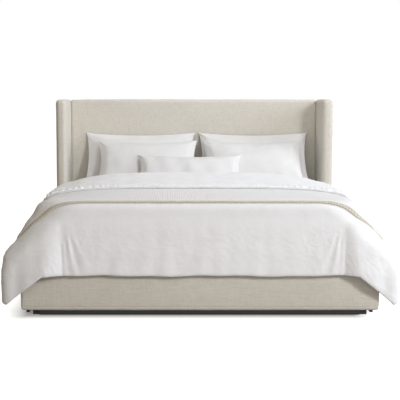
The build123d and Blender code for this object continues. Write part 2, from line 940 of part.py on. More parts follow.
with BuildPart() as duvet_turnback:
    add(duvet_mound(cover_gap + turnback_thickness, 0))
    add(duvet_mound(cover_gap, 0), mode=Mode.SUBTRACT)
    add(between(turnback_front_y, duvet_head_y, turnback_hem_height), mode=Mode.INTERSECT)
save(duvet_turnback, "duvet_turnback")

with BuildPart() as coverlet_shell:
    add(duvet_mound(soft_gap + coverlet_thickness, 0))
    add(duvet_mound(soft_gap, 0), mode=Mode.SUBTRACT)
    add(
        between(coverlet_front_y, duvet_head_y - turnback_bend, coverlet_hem_height),
        mode=Mode.INTERSECT,
    )

border_back_y = coverlet_front_y + coverlet_border_width
with BuildPart() as coverlet:
    add(coverlet_shell.part)
    add(between(border_back_y, far, coverlet_hem_height), mode=Mode.INTERSECT)
save(coverlet, "coverlet")

with BuildPart() as coverlet_border:
    add(coverlet_shell.part)
    add(between(-far, border_back_y, coverlet_hem_height), mode=Mode.INTERSECT)
save(coverlet_border, "coverlet_border")

# Pillows: each leans on what is behind it, touching it belly to belly


def direction(lean):
    """A leaning pillow's way up, and the way that its front faces, in the YZ plane."""
    return (cos(radians(lean)), sin(radians(lean))), (-sin(radians(lean)), cos(radians(lean)))


def middle_height(height, lean):
    """The height of a pillow's middle when its lower edge sinks a little into the bed."""
    return bedding_base - pillow_sink + height / 2 * sin(radians(lean))


def belly_radius(height, thickness):
    """The radius of the arc that a pillow's front and back follow from edge to edge."""
    return (height ** 2 / 4 + thickness ** 2 / 4) / thickness


def pillow_shape(middle, width, height, thickness, lean, x):
    """A crowned pillow with drawn-in sides, lofted through lens-shaped sections."""
    up, front = direction(lean)
    stations = [(-share, fill) for share, fill in pillow_end_shares]
    stations = stations + [(0, 1)]
    stations = stations + [(share, fill) for share, fill in reversed(pillow_end_shares)]
    with BuildPart() as shape:
        for share, fill in stations:
            half = height / 2 - pillow_draw_in * (1 - share ** 2)
            crown = fill * thickness / 2
            top = (middle[0] + half * up[0], middle[1] + half * up[1])
            bottom = (middle[0] - half * up[0], middle[1] - half * up[1])
            fore = (middle[0] + crown * front[0], middle[1] + crown * front[1])
            back = (middle[0] - crown * front[0], middle[1] - crown * front[1])
            with BuildSketch(Plane.YZ.offset(x + share * width / 2)):
                with BuildLine():
                    ThreePointArc(bottom, back, top)
                    ThreePointArc(top, fore, bottom)
                make_face()
        loft()
        for side in (-1, 1):
            face_plane = Plane(
                origin=(x, middle[0], middle[1]),
                x_dir=(side, 0, 0),
                z_dir=(0, side * front[0], side * front[1]),
            )
            with BuildSketch(face_plane):
                with BuildLine():
                    Polyline(
                        (width / 2, -height / 2),
                        (width / 2 + overrun, -height / 2),
                        (width / 2 + overrun, height / 2),
                        (width / 2, height / 2),
                    )
                    ThreePointArc(
                        (width / 2, height / 2),
                        (width / 2 - pillow_draw_in, 0),
                        (width / 2, -height / 2),
                    )
                make_face()
            extrude(amount=thickness, both=True, mode=Mode.SUBTRACT)
    return shape.part


def save_pillow(label, middle, width, height, thickness, lean, x):
    """Writes a pillow's case and hands back the filling that lies inside it."""
    filling_size = (
        width - 2 * insert_side_margin,
        height - 2 * insert_edge_margin,
        thickness - 2 * pillowcase_thickness,
    )
    hollow_size = [length + 2 * soft_gap for length in filling_size]
    floor = block((-far, -far, -far), (far, far, bedding_base))
    case_floor = block((-far, -far, -far), (far, far, bedding_base + pillowcase_thickness))
    filling_floor = block(
        (-far, -far, -far), (far, far, bedding_base + pillowcase_thickness + soft_gap)
    )
    with BuildPart() as hollow:
        add(pillow_shape(middle, *hollow_size, lean, x))
        add(case_floor, mode=Mode.SUBTRACT)
    with BuildPart() as case:
        add(pillow_shape(middle, width, height, thickness, lean, x))
        add(floor, mode=Mode.SUBTRACT)
        add(hollow.part, mode=Mode.SUBTRACT)
    save(case, label)
    with BuildPart() as filling:
        add(pillow_shape(middle, *filling_size, lean, x))
        add(filling_floor, mode=Mode.SUBTRACT)
    return filling.part


def leaning_middle(behind, behind_radius, behind_crown, behind_lean, size, lean):
    """The middle of a pillow that leans belly to belly on the one behind it."""
    height, thickness = size
    radius = belly_radius(height, thickness)
    behind_front = direction(behind_lean)[1]
    front = direction(lean)[1]
    behind_centre = [
        place - (behind_radius - behind_crown) * way for place, way in zip(behind, behind_front)
    ]
    middle_z = middle_height(height, lean)
    centre_z = middle_z + (radius - thickness / 2) * front[1]
    reach = behind_radius + radius + pillow_gap
    centre_y = behind_centre[0] - sqrt(reach ** 2 - (centre_z - behind_centre[1]) ** 2)
    return centre_y - (radius - thickness / 2) * front[0], middle_z


pillow_radius = belly_radius(pillow_height, pillow_thickness)
back_middle = (
    panel_y - soft_gap - pillow_height / 2 * cos(radians(back_pillow_lean)),
    middle_height(pillow_height, back_pillow_lean),
)
front_middle = leaning_middle(
    back_middle,
    pillow_radius,
    pillow_thickness / 2,
    back_pillow_lean,
    (pillow_height, pillow_thickness),
    front_pillow_lean,
)
lumbar_middle = leaning_middle(
    front_middle,
    pillow_radius,
    pillow_thickness / 2,
    front_pillow_lean,
    (lumbar_height, lumbar_thickness),
    lumbar_lean,
)


def save_pillow_pair(row, middle, width, lean, left_x, right_x):
    """Writes the two cases of a row of pillows, and their fillings as one group."""
    size = (width, pillow_height, pillow_thickness)
    left_filling = save_pillow(f"left_{row}_pillowcase", middle, *size, lean, left_x)
    right_filling = save_pillow(f"right_{row}_pillowcase", middle, *size, lean, right_x)
    with BuildPart() as fillings:
        add(left_filling)
        add(right_filling)
    save(fillings, f"{row}_pillow_fillings")


save_pillow_pair(
    "back",
    back_middle,
    back_pillow_width,
    back_pillow_lean,
    left_back_pillow_x,
    right_back_pillow_x,
)
save_pillow_pair(
    "front",
    front_middle,
    front_pillow_width,
    front_pillow_lean,
    left_front_pillow_x,
    right_front_pillow_x,
)
with BuildPart() as lumbar_filling:
    add(
        save_pillow(
            "lumbar_pillowcase",
            lumbar_middle,
            lumbar_width,
            lumbar_height,
            lumbar_thickness,
            lumbar_lean,
            lumbar_x,
        )
    )
save(lumbar_filling, "lumbar_filling")
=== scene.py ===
import logging
from dataclasses import dataclass, field
from enum import Enum, IntEnum
from math import pi, radians

import bpy
import numpy as np
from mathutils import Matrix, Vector


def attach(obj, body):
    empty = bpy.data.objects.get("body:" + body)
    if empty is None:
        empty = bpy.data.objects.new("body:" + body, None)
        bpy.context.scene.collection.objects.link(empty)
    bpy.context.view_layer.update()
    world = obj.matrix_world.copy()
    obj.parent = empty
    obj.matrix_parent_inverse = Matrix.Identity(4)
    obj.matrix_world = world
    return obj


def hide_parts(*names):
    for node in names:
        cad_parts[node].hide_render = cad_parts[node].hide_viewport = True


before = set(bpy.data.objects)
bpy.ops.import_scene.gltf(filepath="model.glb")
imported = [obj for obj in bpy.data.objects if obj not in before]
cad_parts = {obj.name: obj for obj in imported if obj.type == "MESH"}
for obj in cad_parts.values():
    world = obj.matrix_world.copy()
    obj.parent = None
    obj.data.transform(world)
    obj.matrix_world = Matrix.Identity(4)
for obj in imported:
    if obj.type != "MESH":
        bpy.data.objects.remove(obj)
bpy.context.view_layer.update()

Array = np.ndarray
Colour = tuple[float, float, float]
Place = tuple[float, float, float]
NodeTree = bpy.types.NodeTree
Socket = bpy.types.NodeSocket
Node = bpy.types.Node
Material = bpy.types.Material
Piece = bpy.types.Object
log = logging.getLogger("made_up_bed")


class Side(IntEnum):
    """The two sides of the bed, as seen from its foot."""

    LEFT = -1
    RIGHT = 1

    @property
    def word(self) -> str:
        """The side's name in lower case."""
        return self.name.lower()


class Hold(Enum):
    """How a sheet of cloth is held."""

    LAID = "laid"
    STRETCHED = "stretched"


# Meshes


def grid_quads(rows: int, columns: int) -> Array:
    """The quads, as four point numbers each, of a grid of points stored row by row."""
    start = np.arange(rows - 1)[:, None] * columns + np.arange(columns - 1)[None, :]
    return np.stack([start, start + 1, start + columns + 1, start + columns], -1).reshape(-1, 4)


def shell_faces(rows: int, columns: int) -> Array:
    """Lists the faces of a closed shell: an outer grid, an inner one after it, and their rim.

    Args:
        rows: Points along the first direction of each grid.
        columns: Points along the second direction.

    Returns:
        The faces as four point numbers each.
    """
    quads, count = grid_quads(rows, columns), rows * columns
    loop = np.concatenate(
        [
            np.arange(columns),
            np.arange(1, rows) * columns + columns - 1,
            (rows - 1) * columns + np.arange(columns - 2, -1, -1),
            np.arange(rows - 2, -1, -1) * columns,
        ]
    )
    rim = np.stack([loop[1:], loop[:-1], loop[:-1] + count, loop[1:] + count], -1)
    return np.concatenate([quads, quads[:, ::-1] + count, rim])


def both_shells(outer: Array, inner: Array) -> Array:
    """The points of two grids, one a row, the outer grid's first."""
    return np.concatenate([outer.reshape(-1, outer.shape[-1]), inner.reshape(-1, inner.shape[-1])])


def grid_normals(points: Array) -> Array:
    """Unit normals of a grid surface: the cross product of its two tangent directions.

    Args:
        points: Grid of shape (rows, columns, 3).

    Returns:
        Unit normals of the same shape.
    """
    along_rows = np.gradient(points, axis=0)
    along_columns = np.gradient(points, axis=1)
    normal = np.cross(along_columns, along_rows)
    return normal / np.maximum(np.linalg.norm(normal, axis=-1, keepdims=True), 1e-12)


def weld(points: Array, faces: Array, tolerance: float = 2e-5) -> tuple[Array, list[list[int]], Array]:
    """Joins points that lie in the same place and drops corners and faces that collapse.

    Args:
        points: Points, one a row.
        faces: Quads as point numbers.
        tolerance: Points closer than about this are one.

    Returns:
        The kept points, the faces in their numbers, and the first number of each face corner.
    """
    _, first, inverse = np.unique(
        np.round(points / tolerance).astype(np.int64), axis=0, return_index=True, return_inverse=True
    )
    joined = inverse.reshape(-1)[faces]
    kept = joined != np.roll(joined, 1, axis=1)
    kept &= (kept.sum(axis=1) >= 3)[:, None]
    twisted = (joined[:, 0] == joined[:, 2]) | (joined[:, 1] == joined[:, 3])
    kept &= ~twisted[:, None]
    sizes = kept.sum(axis=1)
    corners = joined[kept]
    stops = np.cumsum(sizes[sizes > 0])[:-1]
    return points[first], [part.tolist() for part in np.split(corners, stops)], faces[kept]


def make_piece(name: str, points: Array, faces: Array, cloth: Array | None = None) -> Piece:
    """Makes a smooth-shaded object at the origin from points and faces.

    Args:
        name: The piece's name.
        points: Points, one a row, in metres.
        faces: Quads as point numbers; a quad that repeats a point becomes a triangle.
        cloth: Optional place on the flat cloth of each point, in metres, kept as the UV map "cloth".

    Returns:
        The new object.
    """
    kept, polygons, corners = weld(points.reshape(-1, 3), faces)
    mesh = bpy.data.meshes.new(name)
    mesh.from_pydata(kept.tolist(), [], polygons)
    mesh.update()
    mesh.polygons.foreach_set("use_smooth", np.ones(len(mesh.polygons), dtype=bool))
    if cloth is not None:
        layer = mesh.uv_layers.new(name="cloth")
        layer.data.foreach_set("uv", cloth.reshape(-1, 2)[corners].astype(np.float32).ravel())
    piece = bpy.data.objects.new(name, mesh)
    bpy.context.scene.collection.objects.link(piece)
    return piece


def smooth_step(value: Array | float) -> Array:
    """Rises smoothly from 0 to 1 as its value goes from 0 to 1."""
    value = np.clip(value, 0.0, 1.0)
    return value * value * (3 - 2 * value)


def bell(value: Array, width: float) -> Array:
    """A bell curve: 1 where the value is nought, and near nothing past twice the width."""
    return np.exp(-((value / width) ** 2))


def quarter_round(value: Array) -> Array:
    """Rises from 0 to 1 like a quarter of a circle, steeply at first: the section of an edge."""
    return np.sqrt(np.clip(1 - (1 - value) ** 2, 0, 1))


def smooth_table(knots: Array, values: Array, at: Array) -> Array:
    """Cubic curve through a table, with slopes that never overshoot it.

    Args:
        knots: Rising places of the table's rows.
        values: The table, one column for each quantity.
        at: Places where the curve is wanted.

    Returns:
        One row of quantities for each place.
    """
    gaps = np.diff(knots)[:, None]
    chords = np.diff(values, axis=0) / gaps
    slopes = np.zeros_like(values)
    product = chords[1:] * chords[:-1]
    total = np.where(product > 0, chords[1:] + chords[:-1], 1.0)
    slopes[1:-1] = np.where(product > 0, 2 * product / total, 0.0)
    slopes[0], slopes[-1] = chords[0], chords[-1]
    cell = np.clip(np.searchsorted(knots, at) - 1, 0, len(knots) - 2)
    width = gaps[cell]
    share = ((at - knots[cell]) / width[:, 0])[:, None]
    low, high = values[cell], values[cell + 1]
    return (
        (1 + 2 * share) * (1 - share) ** 2 * low
        + share * (1 - share) ** 2 * width * slopes[cell]
        + share**2 * (3 - 2 * share) * high
        - share**2 * (1 - share) * width * slopes[cell + 1]
    )


@dataclass(frozen=True)
class Undulation:
    """A smooth uneven height: a sum of plane waves of seeded directions and lengths.

    Attributes:
        seed: Seed of the waves.
        shortest: Shortest wavelength, in metres.
        longest: Longest wavelength, in metres.
        heading: Main direction of the waves from the first coordinate, in degrees.
        spread: How far the directions stray from the heading, in degrees.
        count: Number of waves.
    """

    seed: int
    shortest: float
    longest: float
    heading: float = 0.0
    spread: float = 180.0
    count: int = 24

    def height(self, first: Array, second: Array) -> Array:
        """Height at places given by two coordinates: about 1 at its crests.

        Args:
            first: First coordinates.
            second: Second coordinates.

        Returns:
            The heights.
        """
        source = np.random.default_rng(self.seed)
        angle = np.radians(self.heading + self.spread * source.uniform(-1, 1, self.count))
        length = np.exp(source.uniform(np.log(self.shortest), np.log(self.longest), self.count))
        phase = source.uniform(0, 2 * pi, self.count)
        total = np.zeros(np.broadcast(first, second).shape)
        for wave in range(self.count):
            reach = first * np.cos(angle[wave]) + second * np.sin(angle[wave])
            total = total + np.sin(2 * pi * reach / length[wave] + phase[wave])
        return total / np.sqrt(self.count)

    def creases(self, first: Array, second: Array, width: float = 0.32) -> Array:
        """Thin winding ridges, 1 high, along the lines where the height passes through nought."""
        return bell(self.height(first, second), width)


def crossing_lines(low: float, high: float, radius: float, step: float, extra: tuple[float, ...]) -> Array:
    """Grid lines across a rounded block: close at its rounded edges and at extra places.

    Args:
        low: Lowest place.
        high: Highest place.
        radius: Radius of the rounded edges.
        step: Widest gap between lines.
        extra: More places that need a line.

    Returns:
        The rising places of the lines.
    """
    arc = radius * (1 - np.tan(np.linspace(pi / 4, 0, 5)))
    middle = np.linspace(low + radius, high - radius, max(2, int((high - low) / step)))
    lines = np.concatenate([low + arc, middle, high - arc, extra])
    lines = np.unique(np.round(lines, 5))
    return lines[(lines >= low - 1e-6) & (lines <= high + 1e-6)]


SEAM_WIDTH = 0.004  # half the width of the groove that a seam draws, in metres
SEAM_RIDGE = 0.35  # height of the ridges beside it, as a share of its depth
SEAM_RIDGE_AT = 2.2  # how far out the ridges lie, in widths


@dataclass(frozen=True)
class Seam:
    """A sewn seam that runs round a block where it crosses one plane.

    Attributes:
        axis: 0, 1 or 2, the axis that the plane is square to.
        place: Where the plane is, in metres.
        depth: How deep the seam draws the fabric in, in metres.
    """

    axis: int
    place: float
    depth: float = 0.0022

    def lines(self) -> tuple[float, ...]:
        """Places along the axis that need grid lines."""
        offsets = (-0.012, -0.006, -0.0025, 0.0, 0.0025, 0.006, 0.012)
        return tuple(self.place + offset for offset in offsets)


@dataclass(frozen=True)
class Window:
    """A part of one face that the fabric leaves bare.

    Attributes:
        axis: The axis that the face is square to.
        side: -1 for the face at the low end of the axis and 1 for the high end.
        low: Lowest corner of the window.
        high: Highest corner of the window.
    """

    axis: int
    side: int
    low: Place
    high: Place


@dataclass
class UpholsteredBlock:
    """A rounded block of foam in fabric, its faces a little crowned and its seams drawn in.

    A point of the square block is moved to the nearest point of the block that is taken in by
    the edge radius, and out again from there by the radius: that rounds every edge. The crown
    is added along the same line, and fades to nothing at the edges.
    """

    low: Place
    high: Place
    radius: float
    crown: float = 0.003
    step: float = 0.022
    seams: tuple[Seam, ...] = ()
    windows: tuple[Window, ...] = ()
    uneven: float = 0.0007
    seed: int = 1

    def surface(self) -> tuple[Array, Array]:
        """Works the block out.

        Returns:
            Its points and its quads.
        """
        low, high = np.array(self.low), np.array(self.high)
        lines = [
            crossing_lines(low[axis], high[axis], self.radius, self.step, self.extra_lines(axis))
            for axis in range(3)
        ]
        points, quads, count = [], [], 0
        for axis in range(3):
            first, second = (axis + 1) % 3, (axis + 2) % 3
            for side in (-1, 1):
                across, up = np.meshgrid(lines[first], lines[second])
                face = np.empty(across.shape + (3,))
                face[..., first], face[..., second] = across, up
                face[..., axis] = low[axis] if side < 0 else high[axis]
                cells = grid_quads(*across.shape)
                if side < 0:
                    cells = cells[:, ::-1]
                flat = face.reshape(-1, 3)
                bare = np.zeros(len(cells), dtype=bool)
                for window in self.windows:
                    if window.axis == axis and window.side == side:
                        inside = np.all(
                            [
                                (flat[:, other] > window.low[other] - 1e-5)
                                & (flat[:, other] < window.high[other] + 1e-5)
                                for other in (first, second)
                            ],
                            axis=0,
                        )
                        bare |= inside[cells].all(axis=1)
                points.append(flat)
                quads.append(cells[~bare] + count)
                count += len(flat)
        square = np.concatenate(points)
        return self.soften(square, low, high), np.concatenate(quads)

    def extra_lines(self, axis: int) -> tuple[float, ...]:
        """Grid lines that seams and windows need along one axis.

        Args:
            axis: 0, 1 or 2 for x, y or z.

        Returns:
            The places along the axis.
        """
        places: tuple[float, ...] = ()
        for seam in self.seams:
            if seam.axis == axis:
                places += seam.lines()
        for window in self.windows:
            places += (window.low[axis], window.high[axis])
        return places

    def soften(self, square: Array, low: Array, high: Array) -> Array:
        """Rounds the edges of the square block, crowns its faces and draws in its seams.

        Args:
            square: Points on the square block.
            low: Its lowest corner.
            high: Its highest corner.

        Returns:
            The softened points.
        """
        core = np.clip(square, low + self.radius, high - self.radius)
        outward = square - core
        outward = outward / np.linalg.norm(outward, axis=1, keepdims=True)
        share = 2 * (square - low) / (high - low) - 1
        on_face = np.abs(share) > 1 - 1e-6
        fullness = np.where(on_face, 1.0, 1 - share**4).prod(axis=1) * (on_face.sum(axis=1) == 1)
        lift = self.crown * fullness
        x, y, z = square.T
        ripple = Undulation(self.seed, 0.12, 0.5).height(x + 0.7 * y, z - 0.6 * y)
        lift = lift + self.uneven * fullness * ripple
        for seam in self.seams:
            away = (square[:, seam.axis] - seam.place) / SEAM_WIDTH
            turned = 1 - outward[:, seam.axis] ** 2
            lift = lift - turned * seam.depth * bell(away, 1.0)
            lift = lift + turned * SEAM_RIDGE * seam.depth * bell(np.abs(away) - SEAM_RIDGE_AT, 1.0)
        return core + outward * (self.radius + lift)[:, None]

    def piece(self, name: str) -> Piece:
        """Builds the block as an object."""
        points, quads = self.surface()
        return make_piece(name, points, quads)


# Finishes


@dataclass
class Wiring:
    """Short ways to place and link the nodes of one tree."""

    tree: NodeTree

    def node(self, kind: str, **settings: object) -> Node:
        """Places a node and sets its properties.

        Args:
            kind: The node's type.
            settings: Its properties.

        Returns:
            The node.
        """
        made = self.tree.nodes.new(kind)
        for label, value in settings.items():
            setattr(made, label, value)
        return made

    def feed(self, target: Socket, value: object) -> None:
        """Links a socket to a target, or sets the target's own value.

        Args:
            target: The input socket.
            value: A socket, a number or a colour.
        """
        if isinstance(value, Socket):
            self.tree.links.new(value, target)
        elif isinstance(value, tuple) and len(value) == 3 and target.type == "RGBA":
            target.default_value = (*value, 1.0)
        else:
            target.default_value = value

    def preset(self, made: Node, values: dict[str, object]) -> None:
        """Feeds several of a node's inputs by name."""
        for label, value in values.items():
            self.feed(made.inputs[label], value)

    def math(self, operation: str, first: object, second: object = 0.0, clamp: bool = False) -> Socket:
        """A maths node of one or two values.

        Args:
            operation: The node's operation.
            first: The first value.
            second: The second value.
            clamp: Keeps the result between 0 and 1.

        Returns:
            The result's socket.
        """
        made = self.node("ShaderNodeMath", operation=operation, use_clamp=clamp)
        self.feed(made.inputs[0], first)
        self.feed(made.inputs[1], second)
        return made.outputs[0]

    def times(self, first: object, second: object) -> Socket:
        """The product of two values."""
        return self.math("MULTIPLY", first, second)

    def plus(self, first: object, second: object) -> Socket:
        """The sum of two values."""
        return self.math("ADD", first, second)

    def minus(self, first: object, second: object) -> Socket:
        """The difference of two values."""
        return self.math("SUBTRACT", first, second)

    def blend(self, share: object, first: object, second: object) -> Socket:
        """Mixes two colours.

        Args:
            share: How much of the second.
            first: One colour.
            second: The other.

        Returns:
            The mixed colour's socket.
        """
        made = self.node("ShaderNodeMix", data_type="RGBA")
        self.feed(made.inputs[0], share)
        self.feed(made.inputs[6], first)
        self.feed(made.inputs[7], second)
        return made.outputs[2]

    def noise(self, place: object, scale: float, detail: float = 2.0, roughness: float = 0.5) -> Socket:
        """A noise texture's value.

        Args:
            place: Socket of the coordinates.
            scale: Cells per unit.
            detail: Number of finer layers.
            roughness: Share of the finer layers.

        Returns:
            The value's socket, 0 to 1.
        """
        made = self.node("ShaderNodeTexNoise")
        self.preset(made, {"Vector": place, "Scale": scale, "Detail": detail, "Roughness": roughness})
        return made.outputs["Fac"]

    def stretched(self, place: object, scale: tuple[float, float, float]) -> Socket:
        """Coordinates scaled differently along each axis.

        Args:
            place: Socket of the coordinates.
            scale: Factor along each axis.

        Returns:
            The scaled coordinates' socket.
        """
        made = self.node("ShaderNodeMapping")
        self.preset(made, {"Vector": place, "Scale": scale})
        return made.outputs[0]

    def remap(
        self, value: object, low: float, high: float, to_low: float = 0.0, to_high: float = 1.0
    ) -> Socket:
        """Stretches a range of values on to another and clamps it.

        Args:
            value: The value.
            low: Start of its range.
            high: End of its range.
            to_low: Start of the new range.
            to_high: End of the new range.

        Returns:
            The new value's socket.
        """
        made = self.node("ShaderNodeMapRange", clamp=True)
        ends = {"From Min": low, "From Max": high, "To Min": to_low, "To Max": to_high}
        self.preset(made, {"Value": value, **ends})
        return made.outputs["Result"]


def socket_group(
    name: str, inputs: dict[str, tuple[str, object]], outputs: dict[str, str]
) -> tuple[Wiring, Node, Node]:
    """Starts a shader node group with named inputs and outputs.

    Args:
        name: Name of the group.
        inputs: For each input its socket type and its default.
        outputs: For each output its socket type.

    Returns:
        The group's wiring, its input node and its output node.
    """
    group = bpy.data.node_groups.new(name, "ShaderNodeTree")
    for label, (kind, default) in inputs.items():
        socket = group.interface.new_socket(label, in_out="INPUT", socket_type=kind)
        socket.default_value = default
    for label, kind in outputs.items():
        group.interface.new_socket(label, in_out="OUTPUT", socket_type=kind)
    return Wiring(group), group.nodes.new("NodeGroupInput"), group.nodes.new("NodeGroupOutput")


def seen_directly(wire: Wiring) -> Socket:
    """Tells the rays that show a surface itself from those that light other things.

    Args:
        wire: The wiring of the surface's material.

    Returns:
        1 for camera, glossy and transmission rays, and 0 for the others.
    """
    paths = wire.node("ShaderNodeLightPath")
    seen = wire.math("MAXIMUM", paths.outputs["Is Camera Ray"], paths.outputs["Is Glossy Ray"])
    return wire.math("MAXIMUM", seen, paths.outputs["Is Transmission Ray"])


def slub_weave_group() -> None:
    """Plain weave with slubs: a colour and a height, with streaks along both threads over a check."""
    wire, given, out = socket_group(
        "slub_weave",
        {
            "Ground": ("NodeSocketColor", (0.6, 0.56, 0.48, 1)),
            "Light Thread": ("NodeSocketColor", (0.75, 0.72, 0.65, 1)),
            "Dark Thread": ("NodeSocketColor", (0.45, 0.4, 0.32, 1)),
            "Threads": ("NodeSocketFloat", 520.0),
        },
        {"Color": "NodeSocketColor", "Height": "NodeSocketFloat"},
    )
    place = wire.node("ShaderNodeTexCoord").outputs["Object"]
    level = wire.noise(wire.stretched(place, (24, 24, 480)), 1.0, 3.0, 0.6)
    upright = wire.noise(wire.stretched(place, (480, 480, 22)), 1.0, 3.0, 0.6)
    coarse_level = wire.noise(wire.stretched(place, (5, 5, 130)), 1.0, 2.0, 0.55)
    coarse_upright = wire.noise(wire.stretched(place, (130, 130, 4.5)), 1.0, 2.0, 0.55)
    broad = wire.noise(place, 3.0, 2.0)
    split = wire.node("ShaderNodeSeparateXYZ")
    wire.feed(split.inputs[0], place)
    beat = []
    for axis in (0, 1, 2):
        turned = wire.times(split.outputs[axis], given.outputs["Threads"])
        beat.append(wire.math("SINE", wire.times(turned, 2 * pi)))
    across = wire.math("MAXIMUM", beat[0], beat[1])
    check = wire.times(across, beat[2])
    fine = wire.plus(wire.times(level, 0.55), wire.times(upright, 0.45))
    coarse = wire.plus(wire.times(coarse_level, 0.55), wire.times(coarse_upright, 0.45))
    both = wire.plus(wire.times(fine, 0.86), wire.times(coarse, 0.14))
    lights = wire.remap(both, 0.5, 0.66)
    darks = wire.remap(both, 0.5, 0.36)
    light_thread = given.outputs["Light Thread"]
    colour = wire.blend(wire.times(lights, 0.55), given.outputs["Ground"], light_thread)
    colour = wire.blend(wire.times(darks, 0.6), colour, given.outputs["Dark Thread"])
    colour = wire.blend(wire.remap(broad, 0.35, 0.7, 0.0, 0.12), colour, light_thread)
    height = wire.plus(wire.times(fine, 1.2), wire.times(check, 0.12))
    wire.preset(out, {"Color": colour, "Height": height})


def soft_crease_group() -> None:
    """Smooth cotton with ironed-out creases: a mask for painted shade in the hollows of its folds, and a
    height, with folds of several sizes.
    """
    wire, given, out = socket_group(
        "soft_crease",
        {"Crease": ("NodeSocketFloat", 1.0)},
        {"Mask": "NodeSocketFloat", "Height": "NodeSocketFloat"},
    )
    place = wire.node("ShaderNodeTexCoord").outputs["Object"]
    sway = wire.node("ShaderNodeTexNoise")
    wire.feed(sway.inputs["Vector"], place)
    sway.inputs["Scale"].default_value = 4.0
    bend = wire.node("ShaderNodeVectorMath", operation="MULTIPLY_ADD")
    wire.feed(bend.inputs[0], sway.outputs["Color"])
    bend.inputs[1].default_value = (0.09, 0.09, 0.09)
    wire.feed(bend.inputs[2], place)
    large = wire.noise(wire.stretched(bend.outputs[0], (1.0, 1.0, 0.55)), 13.0, 2.0, 0.5)
    small = wire.noise(wire.stretched(bend.outputs[0], (1.0, 1.0, 0.7)), 42.0, 3.0, 0.55)
    fine = wire.noise(place, 700.0, 1.0, 0.5)
    from_ridge = wire.math("ABSOLUTE", wire.minus(small, 0.5))
    ridge = wire.math("SUBTRACT", 1.0, wire.times(from_ridge, 5.0), clamp=True)
    folds = wire.plus(large, wire.times(wire.math("POWER", ridge, 2.0), 0.10))
    folds = wire.plus(folds, wire.times(small, 0.16))
    folds = wire.times(folds, given.outputs["Crease"])
    height = wire.plus(folds, wire.times(fine, 0.012))
    wire.preset(out, {"Mask": large, "Height": height})


def wood_grain_group() -> None:
    """Planed softwood: a mask of growth lines drawn out along one axis, and a height with pores."""
    wire, given, out = socket_group(
        "wood_grain",
        {"Stretch": ("NodeSocketVector", (1.0, 12.0, 12.0))},
        {"Mask": "NodeSocketFloat", "Height": "NodeSocketFloat"},
    )
    place = wire.node("ShaderNodeTexCoord").outputs["Object"]
    drawn = wire.node("ShaderNodeVectorMath", operation="MULTIPLY")
    wire.feed(drawn.inputs[0], place)
    wire.feed(drawn.inputs[1], given.outputs["Stretch"])
    rings = wire.noise(drawn.outputs[0], 2.6, 4.0, 0.62)
    lines = wire.math("FRACT", wire.times(rings, 9.0))
    soft = wire.math("POWER", lines, 2.2)
    pores = wire.noise(drawn.outputs[0], 34.0, 2.0, 0.6)
    wire.preset(out, {"Mask": soft, "Height": wire.plus(wire.times(soft, 0.5), pores)})


def knit_cell_group() -> None:
    """Waffle knit: a mask of small sunken cells, for painted shade in them, and a height, from the piece's
    own cloth map.
    """
    wire, given, out = socket_group(
        "knit_cell",
        {
            "Cells Across": ("NodeSocketFloat", 90.0),
            "Cells Along": ("NodeSocketFloat", 90.0),
            "Skew": ("NodeSocketFloat", 0.0),
        },
        {"Mask": "NodeSocketFloat", "Height": "NodeSocketFloat"},
    )
    place = wire.node("ShaderNodeUVMap", uv_map="cloth").outputs[0]
    split = wire.node("ShaderNodeSeparateXYZ")
    wire.feed(split.inputs[0], place)
    across = wire.times(split.outputs[0], given.outputs["Cells Across"])
    along = wire.times(split.outputs[1], given.outputs["Cells Along"])
    skewed = wire.times(wire.math("PINGPONG", along, 1.0), given.outputs["Skew"])
    slanted = wire.plus(across, skewed)
    first = wire.math("ABSOLUTE", wire.math("SINE", wire.times(slanted, pi)))
    second = wire.math("ABSOLUTE", wire.math("SINE", wire.times(along, pi)))
    cell = wire.times(first, second)
    yarn = wire.noise(place, 800.0, 2.0, 0.6)
    height = wire.plus(wire.times(cell, -1.0), wire.times(yarn, 0.25))
    wire.preset(out, {"Mask": wire.math("POWER", cell, 1.5), "Height": height})


@dataclass(frozen=True)
class Finish:
    """What every finish has: its name, its record slot, its colour and its shine."""

    name: str
    slot: str
    colour: Colour
    roughness: float = 0.85

    def shader(self) -> tuple[Material, Wiring, Node]:
        """Starts the material.

        Returns:
            The material, its wiring and its shader node.
        """
        made = bpy.data.materials.new(self.name)
        made.use_nodes = True
        principled = made.node_tree.nodes["Principled BSDF"]
        principled.inputs["Roughness"].default_value = self.roughness
        principled.inputs["Base Color"].default_value = (*self.colour, 1.0)
        made.diffuse_color = (*self.colour, 1.0)
        return made, Wiring(made.node_tree), principled

    def group(self, wire: Wiring, label: str, values: dict[str, object]) -> Node:
        """Places a shared node group with this finish's own values.

        Args:
            wire: The material's wiring.
            label: The group's name.
            values: Inputs by name.

        Returns:
            The group's node.
        """
        placed = wire.node("ShaderNodeGroup")
        placed.node_tree = bpy.data.node_groups[label]
        wire.preset(placed, values)
        return placed

    def bump(self, wire: Wiring, shader: Node, height: Socket, distance: float, strength: float) -> None:
        """Leads a height through a Bump node to the shader's normal.

        Args:
            wire: The material's wiring.
            shader: The Principled node.
            height: Socket of the height.
            distance: Metres for a height of 1.
            strength: Share of the effect.
        """
        made = wire.node("ShaderNodeBump")
        wire.preset(made, {"Strength": strength, "Distance": distance, "Height": height})
        wire.feed(shader.inputs["Normal"], made.outputs[0])


